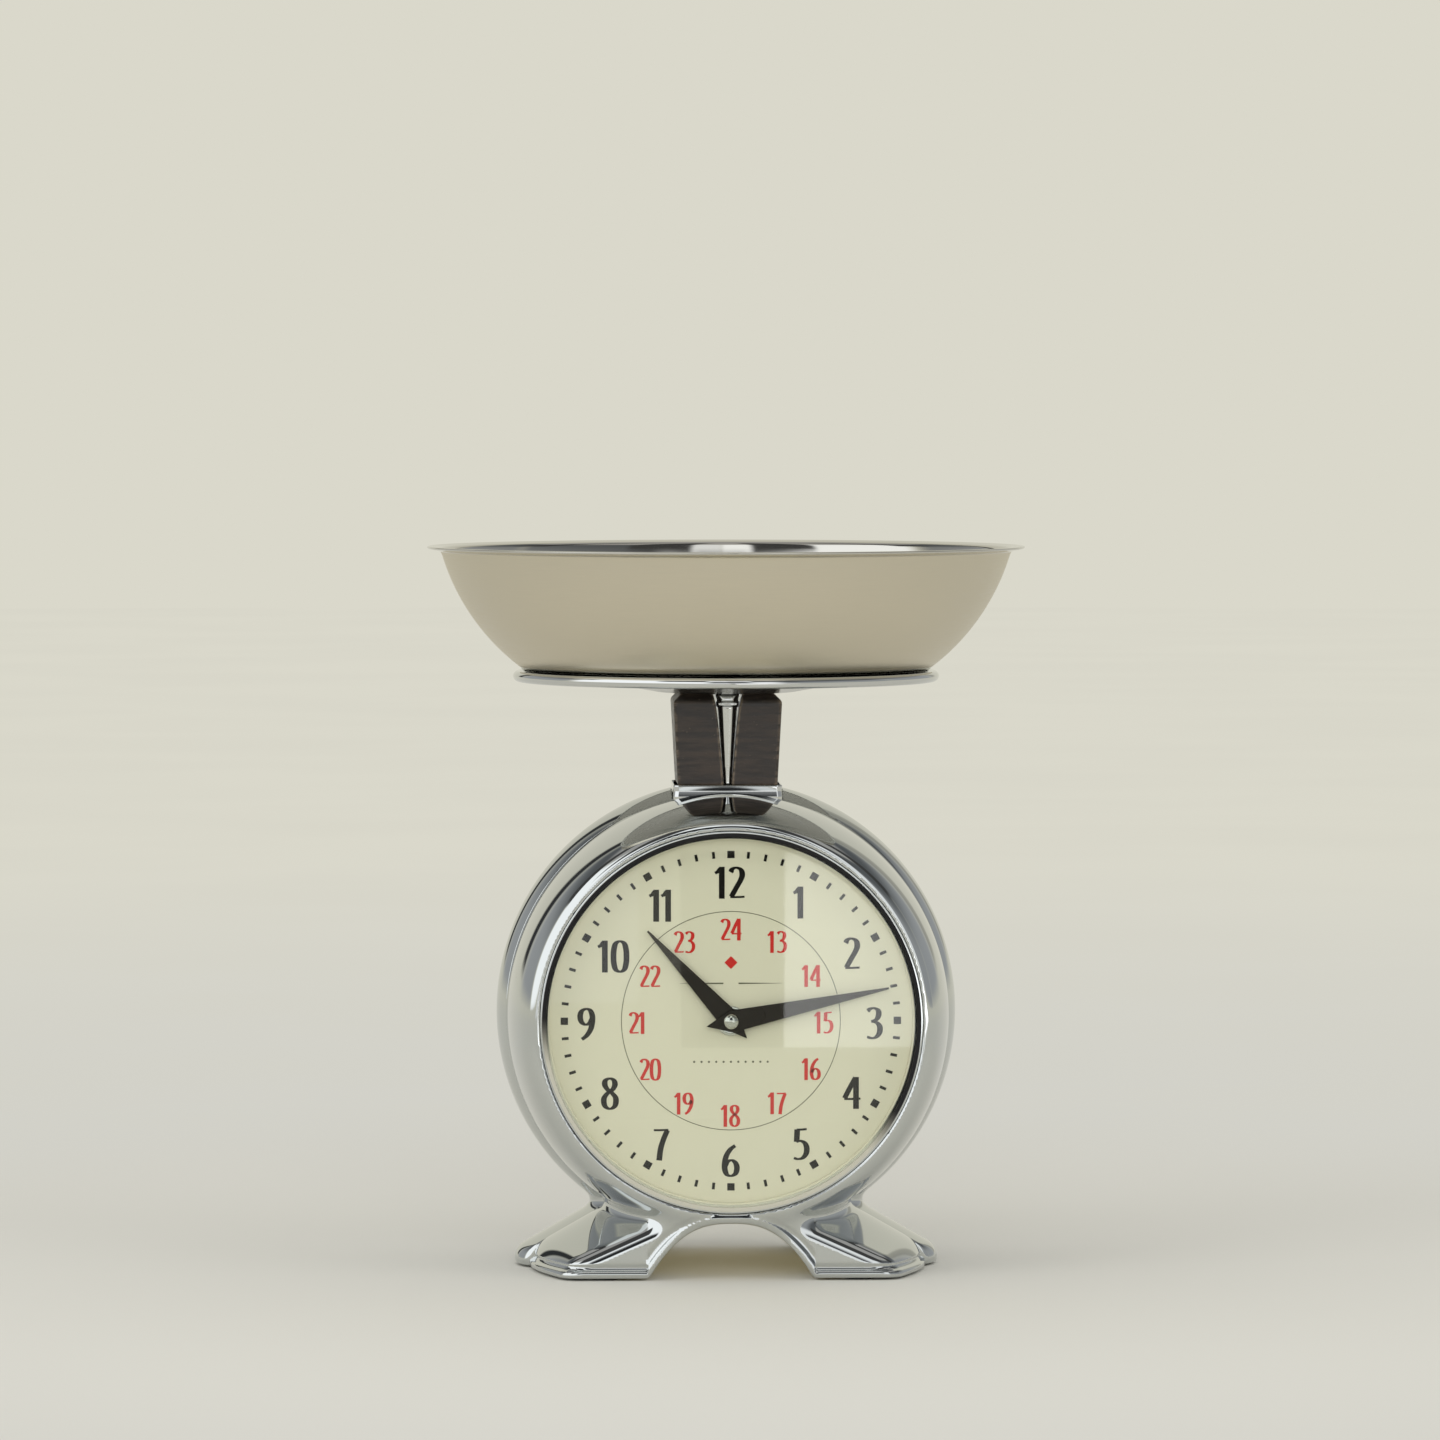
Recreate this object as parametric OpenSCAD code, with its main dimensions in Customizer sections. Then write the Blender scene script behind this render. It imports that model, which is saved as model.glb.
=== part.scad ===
// Countertop kitchen scale with a clock face on the front and a weighing dial on the back.
// A steel bowl lies on a round plate, and a two-cheeked neck carries the plate on the weighing
// carriage inside a round chromed housing that stands on a splayed, arched base.
// Millimetres, +Z up, the clock faces -Y. The origin is on the floor under the housing's axis.

/* [Bowl and plate] */
// Outer radius of the bowl's out-turned rim
bowl_rim_r = 119.8; // [118:0.1:122]
// Height of the bowl's rim above the floor
bowl_top_z = 288; // [287:0.5:292]
// Thickness of the bowl's steel
bowl_wall = 0.8; // [0.6:0.1:1.2]
// Outer radius of the plate's rolled edge
plate_r = 85.2; // [84.8:0.1:87]
// Height of the plate's flat seat, where the bowl rests
seat_z = 236.5; // [236:0.1:237]
// Radius of the plate's rolled bead
bead_r = 2.15; // [1.8:0.05:2.2]

/* [Neck] */
// Height of the neck's lower end above the floor
neck_z0 = 192.5; // [191.5:0.5:194]
// Height of the neck's upper end above the floor
neck_z1 = 229.6; // [229:0.1:230]
// Width of the neck at its lower end
neck_w0 = 39.8; // [39:0.1:40.6]
// Width of the neck below its top bevel
neck_w1 = 43.4; // [43:0.1:44.4]
// Height of the bevel round the neck's top
neck_bevel = 3.2; // [2:0.1:4]
// Distance that the platform sinks under full load
travel = 10; // [8:0.5:10]

/* [Housing] */
// Height of the housing's axis above the floor
axis_z = 102; // [101:0.5:104]
// Radius of the housing at the crown of its centre band
crown_r = 92; // [91:0.1:93]
// Radius of the housing where the band meets the shells
ridge_r = 88.2; // [87.5:0.1:89]
// Half the width of the crowned centre band
band_half = 15; // [13:0.5:16]
// Distance from the middle to the front edge of each shell
shell_y = 66; // [65:0.5:68]
// Radius of the rounded front edge of each shell
lip_r = 76.5; // [76.4:0.1:77]
// Radius of the opening that holds the glass
opening_r = 75.4; // [75:0.1:75.4]
// Wall thickness of the shells and the band
wall = 2.5; // [2:0.1:3]

/* [Base] */
// Half the width of the base across its side lobes
lobe_x = 85; // [84:0.5:86]
// Half the depth of the base at floor level
base_y = 64; // [63:0.5:65]
// Half the span of the arch under the base
arch_x = 33; // [30:0.5:34]
// Height of the arch above the floor
arch_z = 22.6; // [20:0.1:22.8]
// Height of the housing's inner floor
floor_z = 25.5; // [25:0.1:26]
// Gap between the base and the floor, taken up by the rubber pads
pad_gap = 0.8; // [0.6:0.1:1.2]

/* [Weighing dial] */
// Pitch radius of the pinion on the pointer's arbor
pitch_r = 2; // [2:2]
// Teeth on the pinion
teeth = 10; // [10:10]
// Length of the weighing pointer from its axis to its tip
pointer_l = 60; // [50:1:64]

/* [Clock] */
// Length of the minute hand from its axis to its tip
minute_l = 63.5; // [55:0.5:65]
// Length of the hour hand from its axis to its tip
hour_l = 48.5; // [40:0.5:52]
// Angle of the minute hand, clockwise from twelve
minute_deg = 78.2; // [0:0.1:360]
// Angle of the hour hand, clockwise from twelve
hour_deg = 317.3; // [0:0.1:360]

/* [Hidden] */

$fn = 96;
eps = 0.01;
far = 400;

// Stack behind each glass, as distances from the middle plane
glass_front = shell_y - 1;
glass_t = 2;
gasket_front = shell_y - 0.2;
gasket_back = shell_y - 5;
gasket_in_r = 73;
gasket_lip_r = 71.2;
dial_front = shell_y - 10;
dial_t = 0.8;
dial_r = 75;
dial_ring_r = 70.7;
ledge_r = 68;
ledge_t = 2;
dial_back = dial_front - dial_t;

// Clock movement
move_half = 28;
move_depth = 16;
move_back = dial_back - move_depth;
case_t = 1.5;
post_out = 1.6;
bush_r = 4;
pipe_r = 2.5;
arbor_r = 1.5;
run_gap = 0.05;
battery_r = 7.2;
battery_half = 25.2;
battery_tip_r = 2.7;
battery_tip_t = 1.5;
battery_dz = -18;
knob_dx = 12;
knob_dz = 12;
knob_r = 6;
knob_t = 3;
knob_gap = 0.3;

// Two-plate frame of the weighing works
frame_front_y = -30;
frame_rear_y = 24;
frame_t = 3;
pillar_x = 49;
pillar_dz = 46;
pillar_r = 3;
plate_hole_r = 1.55;
plate_top_z = axis_z + 54;
plate_low_z = axis_z - 54;
plate_half = 54;
bracket_w = 20;
bracket_h = 40;
notch_half = 44;
notch_z = axis_z - 22;

// Levers of the parallel motion
lever_x = -45;
lever_y = -14;
lever_t = 3;
lever_half = 4;
lever_nose = 3;
lever_dz = 38;
stud_r = 2;
pin_out = 1.5;
slot_clear = 0.4;
slot_half = 1.2;

// Carriage, rack and springs
car_half = 9;
car_y = 5;
car_z0 = 58;
car_z1 = 168;
arm_t = 6;
bar_half = 4;
wire_clear = 0.2;
spring_x = 34;
spring_y = 35;
spring_r = 5.5;
wire_r = 0.6;
anchor_z = 160;
anchor_t = 6;
anchor_half = 42;
pinion_y = 14;
pinion_w = 6;
module_mm = 2 * pitch_r / teeth;
tooth_pitch = PI * module_mm;
rack_back = 4.6;
rack_foot = 6;
dedendum = 0.45;
tooth_sink = 0.2;
bush_l = 14;
bush_flange_r = 6;

// Screws: shank and head radii, M3 unless named otherwise
m3_r = 1.5;
m3_head_r = 2.8;
m3_head_t = 2.2;
m2_r = 1.2;
m2_head_r = 2.6;
m2_head_t = 1.8;
screw_bite = 7;
screw_dx = 8;

// Neck and collar
core_x = 13;
core_y = 16;
neck_d0 = 39.6;
neck_d1 = 42.4;
collar_in = 42.2;
collar_wall = 0.6;
collar_top = 193.2;
collar_low = 183;
gap_top = 5.9;
gap_low = 1.4;
spine_top = 3.2;
spine_low = 0.8;
spine_y = 19.2;
spine_head = 4.6;
spine_head_z = neck_z1 - 4;
shank_half = 12;
shank_foot_t = 3;
core_tap = 12;

// Tie screws through the shells and the band
tie_r = 74;
tie_angles = [35, 145, 215, 325];
tie_end = 48;
tie_start = -30;
tie_boss_r = 4;
tie_rib_t = 4;
tie_rib_l = 15;

// Zero adjuster
zero_y = spring_y;
zero_r = 2;
zero_base = 191;
zero_low = 148;
zero_top = 196;
zero_collar_z = 181;
zero_collar_r = 3.5;
zero_well_r = 11;
zero_knob_r = 9;
zero_knob_h = 7;
zero_grip_r = 0.7;
zero_grip_step = 20;

// Hands and their nuts
clock_nut_r = 6;
clock_nut_t = 1.3;
dome_r = 4;
dome_rise = 2.2;
dome_cut_r = 3;
hand_tip = 0.4;
minute_half = 4.4;
minute_tail = 10;
hour_half = 4.2;
hour_tail = 9.3;

// Weighing pointer
pointer_half = 3.4;
pointer_tail = 18;
pointer_t = 0.6;
pointer_hub_r = 5;
pointer_hub_t = 1;
arbor_out = 3.4;
arbor_step_r = 3;

// Pockets moulded into the underside of the base, as outlines in X and Z
shell_pocket = [[37, -1], [37, 10.5], [48, 6], [57, 3], [57, -1]];
shell_pocket_y = [-44, -20];
band_pocket = [[37, -1], [37, 14], [60, 9], [72, 5], [72, -1]];
band_pocket_y = [-11, 11];

// Lugs of the band that carry the pillars
lug_start = 62;
lug_l = 30;
lug_w = 12;
lug_h = 10;

// A prism along Y from y0 to y1, whose outline is drawn in X and Z
module along_y(y0, y1) {
    translate([0, y1, 0]) rotate([90, 0, 0]) linear_extrude(y1 - y0) children();
}

// A prism along X from x0 to x1, whose outline is drawn in Y and Z
module along_x(x0, x1) {
    translate([x0, 0, 0]) rotate([90, 0, 90]) linear_extrude(x1 - x0) children();
}

// A cylinder along Y
module rod_y(r, y0, y1, x = 0, z = axis_z) {
    translate([x, y0, z]) rotate([-90, 0, 0]) cylinder(r = r, h = y1 - y0);
}

// A tube along Y
module tube_y(r, hole, y0, y1, x = 0, z = axis_z) {
    difference() {
        rod_y(r, y0, y1, x, z);
        rod_y(hole, y0 - 1, y1 + 1, x, z);
    }
}

// A body turned about the housing's axis; the profile gives radius and Y
module turned() {
    translate([0, 0, axis_z]) rotate([-90, 0, 0]) rotate_extrude() children();
}

// Mirrors front pieces to the rear
module to_rear() {
    mirror([0, 1, 0]) children();
}

// Radius of the shell's outside at a distance y from the middle plane
function shell_r(y) = lip_r
    + (ridge_r - lip_r) * sqrt(1 - pow((y - band_half) / (shell_y - band_half), 2));

// Radius of the band's outside at a distance y from the middle plane
function band_r(y) = crown_r - (crown_r - ridge_r) * pow(y / band_half, 2);

// Upper edge of the arch at x
function arch_h(x) = arch_z * (1 - pow(abs(x) / arch_x, 2.5));

module arch_shape() {
    steps = 12;
    polygon([for (i = [-steps : steps]) let (x = arch_x * i / steps) [x, arch_h(x)],
             [arch_x, -5], [-arch_x, -5]]);
}

// Right-hand flank of the base from the floor up: at the front edge and beside the band
flank_front = [[66, pad_gap], [66, 4.5], [62.4, 6], [52, 10.2],
               [39.6, 16.2], [30.6, 20.4], [12.5, 24.5], [3, 28]];
flank_side = [[78.8, pad_gap], [78.8, 8], [77.5, 9.7], [72, 12.7],
              [66, 16], [60, 19.3], [54.7, 22.2], [44, 29]];
flank_n = len(flank_front);

// Blend from the front flank to the side flank, quick at first so that the corner is round
function flank(y) = let (s = sin(90 * (base_y - y) / (base_y - band_half)))
    [for (i = [0 : flank_n - 1]) flank_front[i] * (1 - s) + flank_side[i] * s];

// Whole outline from its right half
function both_sides(half) = concat(half,
    [for (i = [len(half) - 1 : -1 : 0]) [-half[i][0], half[i][1]]]);

// A closed solid through equal outlines [y, [[x, z], ...]]
module loft(sections) {
    n = len(sections[0][1]);
    m = len(sections);
    points = [for (s = sections, p = s[1]) [p[0], s[0], p[1]]];
    sides = [for (j = [0 : m - 2], i = [0 : n - 1]) let (k = (i + 1) % n, a = j * n, b = (j + 1) * n)
             each [[a + i, b + i, b + k], [a + i, b + k, a + k]]];
    first = [for (i = [n - 1 : -1 : 0]) i];
    last = [for (i = [0 : n - 1]) (m - 1) * n + i];
    polyhedron(points, concat([first], sides, [last]), convexity = 4);
}

// Front half of the splayed base, without its arch
module half_base() {
    loft([for (y = [base_y, 61, 56, 50, 43, 35, 26, band_half]) [-y, both_sides(flank(y))]]);
}

// Rib and lobes that carry the band's crown down the flanks
function rib(y) = let (c = 1 - pow(y / band_half, 2))
    [[79.5 + (lobe_x - 79.5) * c, pad_gap], [79.5 + (lobe_x - 79.5) * c, 7.6],
     [72 + 6 * c, 12.7 - 1.3 * c], [62 + 5.2 * c, 18.4 - 0.4 * c], [52 + 2 * c, 24], [40, 30]];

module band_base() {
    loft([for (i = [-4 : 4]) let (y = band_half * i / 4) [y, both_sides(rib(y))]]);
}

// Outer skin of the front shell, from its lip to the band
module shell_skin(inset, y_front) {
    steps = 9;
    turned() polygon(concat(
        [[0, -y_front]],
        [for (i = [steps : -1 : 0]) let (y = band_half + (y_front - band_half) * sin(90 * i / steps))
         [shell_r(y) - inset, -y]],
        [[0, -band_half]]));
}

// Hollow of the front shell, above the inner floor
module shell_hollow() {
    back = dial_back - ledge_t;
    intersection() {
        union() {
            shell_skin(wall, back);
            rod_y(ridge_r - wall, -band_half - eps, -band_half + 1);
        }
        translate([-far / 2, -far / 2, floor_z]) cube([far, far, far]);
    }
    rod_y(opening_r, -shell_y - 1, -dial_back);
    rod_y(ledge_r, -dial_back - 1, -back + 1);
}

// Square opening for the collar
module collar_hole() {
    side = collar_in + 2 * collar_wall;
    translate([-side / 2, -side / 2, collar_low]) cube([side, side, far]);
}

module tie_bosses(y0, y1) {
    for (a = tie_angles) {
        rod_y(tie_boss_r, y0, y1, tie_r * cos(a), axis_z + tie_r * sin(a));
        intersection() {
            translate([0, 0, axis_z]) rotate([0, -a, 0])
                translate([tie_r, y0, -tie_rib_t / 2]) cube([tie_rib_l, y1 - y0, tie_rib_t]);
            rod_y(shell_r(max(abs(y0), abs(y1), band_half)) - 1, y0, y1);
        }
    }
}

module tie_holes(y0, y1) {
    for (a = tie_angles) rod_y(m3_r + run_gap, y0, y1, tie_r * cos(a), axis_z + tie_r * sin(a));
}

// Rubber pads under the corners
pad_x = 50;
pad_y = 54;
pad_r = 6;
pad_depth = 1.2;

module pads(r, z0, z1) {
    for (sx = [-1, 1], sy = [-1, 1])
        translate([sx * pad_x, sy * pad_y, z0]) cylinder(r = r, h = z1 - z0);
}

module front_half_shell() {
    difference() {
        union() {
            difference() {
                union() {
                    shell_skin(0, shell_y);
                    half_base();
                }
                shell_hollow();
                along_y(-far / 2, far / 2) arch_shape();
                for (s = [-1, 1]) scale([s, 1, 1]) along_y(shell_pocket_y[0], shell_pocket_y[1])
                    polygon(shell_pocket);
                collar_hole();
                pads(pad_r, -1, pad_gap + pad_depth);
            }
            tie_bosses(-tie_end, -band_half);
        }
        tie_holes(-tie_end - 1, -band_half + 1);
    }
}

module front_shell() {
    color("silver") front_half_shell();
}

module rear_shell() {
    color("silver") difference() {
        to_rear() front_half_shell();
        translate([0, zero_y, axis_z]) cylinder(r = zero_r + run_gap, h = far);
        translate([0, zero_y, zero_base - 1]) cylinder(r = zero_well_r, h = far);
    }
}

module centre_band() {
    steps = 6;
    color("lightsteelblue") difference() {
        union() {
            difference() {
                union() {
                    turned() polygon(concat(
                        [[0, -band_half]],
                        [for (i = [-steps : steps]) let (y = band_half * i / steps) [band_r(y), y]],
                        [[0, band_half]]));
                    band_base();
                }
                intersection() {
                    rod_y(ridge_r - wall, -band_half - 1, band_half + 1);
                    translate([-far / 2, -far / 2, floor_z]) cube([far, far, far]);
                }
                along_y(-far / 2, far / 2) arch_shape();
                for (s = [-1, 1]) scale([s, 1, 1]) along_y(band_pocket_y[0], band_pocket_y[1])
                    polygon(band_pocket);
                collar_hole();
            }
            tie_bosses(-band_half, band_half);
            for (sx = [-1, 1], sz = [-1, 1]) intersection() {
                translate([0, 0, axis_z]) rotate([0, -atan2(sz * pillar_dz, sx * pillar_x), 0])
                    translate([lug_start, -lug_w / 2, -lug_h / 2]) cube([lug_l, lug_w, lug_h]);
                rod_y(ridge_r - 1, -lug_w, lug_w);
            }
        }
        tie_holes(-band_half - 1, band_half + 1);
        for (sx = [-1, 1], sz = [-1, 1])
            rod_y(pillar_r, -lug_w, lug_w, sx * pillar_x, axis_z + sz * pillar_dz);
    }
}

module collar() {
    outer = collar_in + 2 * collar_wall;
    color("gainsboro") difference() {
        translate([-outer / 2, -outer / 2, collar_low]) cube([outer, outer, collar_top - collar_low]);
        translate([-collar_in / 2, -collar_in / 2, collar_low - 1]) cube([collar_in, collar_in, far]);
    }
}

module foot_pads() {
    color("black") pads(pad_r, 0, pad_gap + pad_depth);
}

module case_screws() {
    color("dimgray") for (a = tie_angles) {
        rod_y(m3_r, tie_start, tie_end, tie_r * cos(a), axis_z + tie_r * sin(a));
        rod_y(m3_head_r, tie_end, tie_end + m3_head_t, tie_r * cos(a), axis_z + tie_r * sin(a));
    }
}

module gasket() {
    turned() polygon([[gasket_lip_r, -gasket_back], [opening_r, -gasket_back],
                      [opening_r, -gasket_front], [gasket_in_r, -gasket_front], [gasket_in_r, -glass_front + glass_t],
                      [gasket_lip_r, -glass_front + glass_t]]);
}

module front_gasket() {
    color("black") gasket();
}

module rear_gasket() {
    color("black") to_rear() gasket();
}

module glass() {
    rod_y(gasket_in_r, -glass_front, -glass_front + glass_t);
}

module front_glass() {
    color("azure", 0.4) glass();
}

module rear_glass() {
    color("azure", 0.4) to_rear() glass();
}

module dial_ring() {
    tube_y(opening_r, dial_ring_r, -gasket_back, -dial_front);
}

module front_dial_ring() {
    color("wheat") dial_ring();
}

module rear_dial_ring() {
    color("wheat") to_rear() dial_ring();
}

module clock_dial() {
    color("cornsilk") tube_y(dial_r, bush_r, -dial_front, -dial_back);
}

module weight_dial() {
    color("cornsilk") to_rear() tube_y(dial_r, bush_r, -dial_front, -dial_back);
}

module clock_movement() {
    pocket_z = 2 * battery_r + 1;
    color("darkslategray") difference() {
        union() {
            translate([-move_half, -dial_back, axis_z - move_half])
                cube([2 * move_half, move_depth, 2 * move_half]);
            rod_y(bush_r, -dial_front - post_out, -dial_back + 1);
        }
        translate([-battery_half - 0.6, -dial_back + case_t, axis_z + battery_dz - pocket_z / 2])
            cube([2 * battery_half + 1.2, move_depth, pocket_z]);
        rod_y(pipe_r + run_gap, -dial_front - 5, -move_back - 3);
        rod_y(arbor_r + run_gap, -move_back - 4, -move_back + 1, knob_dx, axis_z + knob_dz);
    }
}

module battery() {
    y = -dial_back + case_t + battery_r;
    color("goldenrod") translate([0, y, axis_z + battery_dz]) rotate([0, 90, 0]) union() {
        translate([0, 0, -battery_half]) cylinder(r = battery_r, h = 2 * battery_half - battery_tip_t);
        translate([0, 0, 0]) cylinder(r = battery_tip_r, h = battery_half);
    }
}

module clock_nut() {
    color("silver") difference() {
        rod_y(clock_nut_r, -dial_front - clock_nut_t, -dial_front);
        rod_y(bush_r, -dial_front - 2, -dial_front + 1);
    }
}

// A kite-shaped hand that points up, with its front face at y
module hand(tip, half, tail, y, hole) {
    along_y(y, y + hand_t) difference() {
        polygon([[-hand_tip, tip], [hand_tip, tip], [half, 0], [0, -tail], [-half, 0]]);
        circle(r = hole);
    }
}

module at_axis(deg) {
    translate([0, 0, axis_z]) rotate([0, deg, 0]) children();
}

hour_y = -dial_front - 2.6;
minute_y = -dial_front - 4;
hand_t = 0.5;

module hour_pipe() {
    color("khaki") tube_y(pipe_r, arbor_r + run_gap, hour_y - 0.4, -move_back - 4);
}

module hour_hand() {
    color("black") at_axis(hour_deg) hand(hour_l, hour_half, hour_tail, hour_y, pipe_r);
}

module minute_arbor() {
    color("khaki") rod_y(arbor_r, minute_y - 0.5, -move_back - 4);
}

module minute_hand() {
    color("black") at_axis(minute_deg) hand(minute_l, minute_half, minute_tail, minute_y, arbor_r);
}

module hand_nut() {
    color("silver") intersection() {
        translate([0, minute_y + dome_rise, axis_z]) sphere(r = dome_r);
        difference() {
            rod_y(dome_cut_r, minute_y - dome_r, minute_y);
            rod_y(arbor_r, minute_y - 0.5, minute_y + 1);
        }
    }
}

module set_knob() {
    color("white") union() {
        rod_y(knob_r, -move_back + knob_gap, -move_back + knob_gap + knob_t,
              knob_dx, axis_z + knob_dz);
        rod_y(arbor_r, -move_back - 3.5, -move_back + 1, knob_dx, axis_z + knob_dz);
    }
}

// Outline of a frame plate: pillar corners, and a window for the moving parts
module plate_outline() {
    difference() {
        translate([-plate_half, plate_low_z]) square([2 * plate_half, plate_top_z - plate_low_z]);
        translate([-notch_half, plate_low_z - 1]) square([2 * notch_half, notch_z - plate_low_z + 1]);
        for (sx = [-1, 1], sz = [-1, 1])
            translate([sx * pillar_x, axis_z + sz * pillar_dz]) circle(r = plate_hole_r);
    }
}

module front_plate() {
    color("lightgray") along_y(frame_front_y, frame_front_y + frame_t) difference() {
        union() {
            plate_outline();
            translate([-plate_half, plate_low_z]) square([bracket_w, bracket_h]);
        }
        translate([-pillar_x, axis_z - pillar_dz]) circle(r = plate_hole_r);
        for (s = [-1, 1]) translate([lever_x, axis_z + s * lever_dz]) circle(r = stud_r);
    }
}

module rear_plate() {
    color("lightgray") along_y(frame_rear_y, frame_rear_y + frame_t) difference() {
        plate_outline();
        translate([0, axis_z]) circle(r = bush_r);
    }
}

module plate_pillars() {
    color("darkgray") for (sx = [-1, 1], sz = [-1, 1])
        tube_y(pillar_r, m2_r, frame_front_y + frame_t, frame_rear_y,
               sx * pillar_x, axis_z + sz * pillar_dz);
}

module plate_screws() {
    color("dimgray") for (sx = [-1, 1], sz = [-1, 1]) {
        x = sx * pillar_x;
        z = axis_z + sz * pillar_dz;
        rod_y(m2_r, frame_front_y, frame_front_y + frame_t + screw_bite, x, z);
        rod_y(m2_head_r, frame_front_y - m2_head_t, frame_front_y, x, z);
        rod_y(m2_r, frame_rear_y - screw_bite, frame_rear_y + frame_t, x, z);
        rod_y(m2_head_r, frame_rear_y + frame_t, frame_rear_y + frame_t + m2_head_t, x, z);
    }
}

module lever_studs() {
    color("darkgray") for (s = [-1, 1])
        rod_y(stud_r, frame_front_y, lever_y + lever_t + pin_out, lever_x, axis_z + s * lever_dz);
}

module lever(z) {
    along_y(lever_y, lever_y + lever_t) difference() {
        union() {
            translate([lever_x, z]) circle(r = lever_half + 1);
            translate([lever_x, z - lever_half]) square([lever_nose - lever_x, 2 * lever_half]);
            translate([lever_nose, z]) circle(r = lever_half);
        }
        translate([lever_x, z]) circle(r = stud_r + run_gap);
        translate([-slot_half, z - stud_r - slot_clear])
            square([2 * slot_half, 2 * (stud_r + slot_clear)]);
        for (s = [-1, 1]) translate([slot_half * s, z]) circle(r = stud_r + slot_clear);
    }
}

module upper_lever() {
    color("steelblue") lever(axis_z + lever_dz);
}

module lower_lever() {
    color("steelblue") lever(axis_z - lever_dz);
}

module carriage() {
    color("slategray") difference() {
        union() {
            translate([-car_half, -car_y, car_z0]) cube([2 * car_half, 2 * car_y, car_z1 - car_z0]);
            translate([-shank_half, -shank_half, car_z1 - shank_foot_t])
                cube([2 * shank_half, 2 * shank_half, shank_foot_t]);
            translate([-car_half, -car_y, car_z0])
                cube([2 * car_half, spring_y + bar_half + car_y, arm_t]);
            translate([-anchor_half, spring_y - bar_half, car_z0])
                cube([2 * anchor_half, 2 * bar_half, arm_t]);
        }
        for (s = [-1, 1]) {
            rod_y(stud_r, -car_y - 1, car_y + 1, 0, axis_z + s * lever_dz);
            translate([s * spring_x, spring_y, car_z0 - 1]) cylinder(r = wire_r + wire_clear, h = 20);
            translate([0, s * screw_dx, car_z1 - 5]) cylinder(r = m3_r + run_gap, h = 20);
        }
    }
}

module carriage_pins() {
    color("darkgray") for (s = [-1, 1])
        rod_y(stud_r, lever_y - pin_out, car_y, 0, axis_z + s * lever_dz);
}

// Rack on the side of the pinion away from +X, so that a load turns the pointer clockwise
module rack() {
    low = axis_z - 12 - travel;
    high = axis_z + 24;
    base = 0.62;
    tip = 0.28;
    tooth_h = 0.7;
    bar_w = rack_back - dedendum;
    color("goldenrod") union() {
        along_y(pinion_y, pinion_y + pinion_w) union() {
            translate([-pitch_r - rack_back, low]) square([bar_w, high - low]);
            for (i = [-5 : 12]) translate([-pitch_r - dedendum, axis_z + (i + 0.5) * tooth_pitch])
                polygon([[-tooth_sink, -base / 2], [0, -base / 2], [tooth_h, -tip / 2],
                         [tooth_h, tip / 2], [0, base / 2], [-tooth_sink, base / 2]]);
        }
        for (z = [low, high - rack_foot])
            translate([-pitch_r - rack_back, car_y, z])
                cube([bar_w, pinion_y - car_y + 1, rack_foot]);
    }
}

module pointer_arbor() {
    base = 0.66;
    tip = 0.28;
    tip_r = 2.25;
    color("gold") union() {
        rod_y(arbor_r, pinion_y, dial_front + arbor_out);
        rod_y(arbor_step_r, dial_front + 1, dial_front + 2);
        along_y(pinion_y, pinion_y + pinion_w) translate([0, axis_z]) for (i = [0 : teeth - 1])
            rotate(180 + 360 / teeth * i)
                polygon([[arbor_r - 2 * tooth_sink, -base / 2], [arbor_r, -base / 2],
                         [tip_r, -tip / 2], [tip_r, tip / 2], [arbor_r, base / 2],
                         [arbor_r - 2 * tooth_sink, base / 2]]);
    }
}

module arbor_bush() {
    color("khaki") difference() {
        union() {
            rod_y(bush_r, frame_rear_y, frame_rear_y + bush_l);
            rod_y(bush_flange_r, frame_rear_y + frame_t, frame_rear_y + frame_t + 2);
        }
        rod_y(arbor_r + run_gap, frame_rear_y - 1, frame_rear_y + bush_l + 1);
    }
}

module weight_pointer() {
    y = dial_front + 2;
    color("firebrick") difference() {
        union() {
            along_y(y, y + pointer_t) translate([0, axis_z])
                polygon([[-hand_tip, pointer_l], [hand_tip, pointer_l],
                         [pointer_half, -pointer_tail], [-pointer_half, -pointer_tail]]);
            rod_y(pointer_hub_r, y, y + pointer_hub_t);
        }
        rod_y(arbor_r, y - 1, y + 2);
    }
}

// Tapered neck block: width and depth grow from the collar to the bevelled top
module neck_taper(w0, w1, top) {
    polygon([[-w0 / 2, neck_z0], [w0 / 2, neck_z0], [w1 / 2, neck_z1 - neck_bevel],
             [w1 / 2 - top, neck_z1], [-w1 / 2 + top, neck_z1], [-w1 / 2, neck_z1 - neck_bevel]]);
}

module neck_block() {
    intersection() {
        along_y(-40, 40) neck_taper(neck_w0, neck_w1, neck_bevel);
        along_x(-40, 40) neck_taper(neck_d0, neck_d1, neck_bevel);
    }
}

module neck_gap() {
    along_y(-40, 40) polygon([[-gap_low, neck_z0 - 1], [gap_low, neck_z0 - 1],
                              [gap_top, neck_z1 + 1], [-gap_top, neck_z1 + 1]]);
}

module core_box() {
    translate([-core_x, -core_y, neck_z0]) cube([2 * core_x, 2 * core_y, neck_z1 - neck_z0]);
}

module cheek() {
    difference() {
        intersection() {
            neck_block();
            translate([0, -50, 0]) cube([50, 100, 300]);
        }
        neck_gap();
        core_box();
    }
}

module left_cheek() {
    color("saddlebrown") mirror([1, 0, 0]) cheek();
}

module right_cheek() {
    color("saddlebrown") cheek();
}

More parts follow.
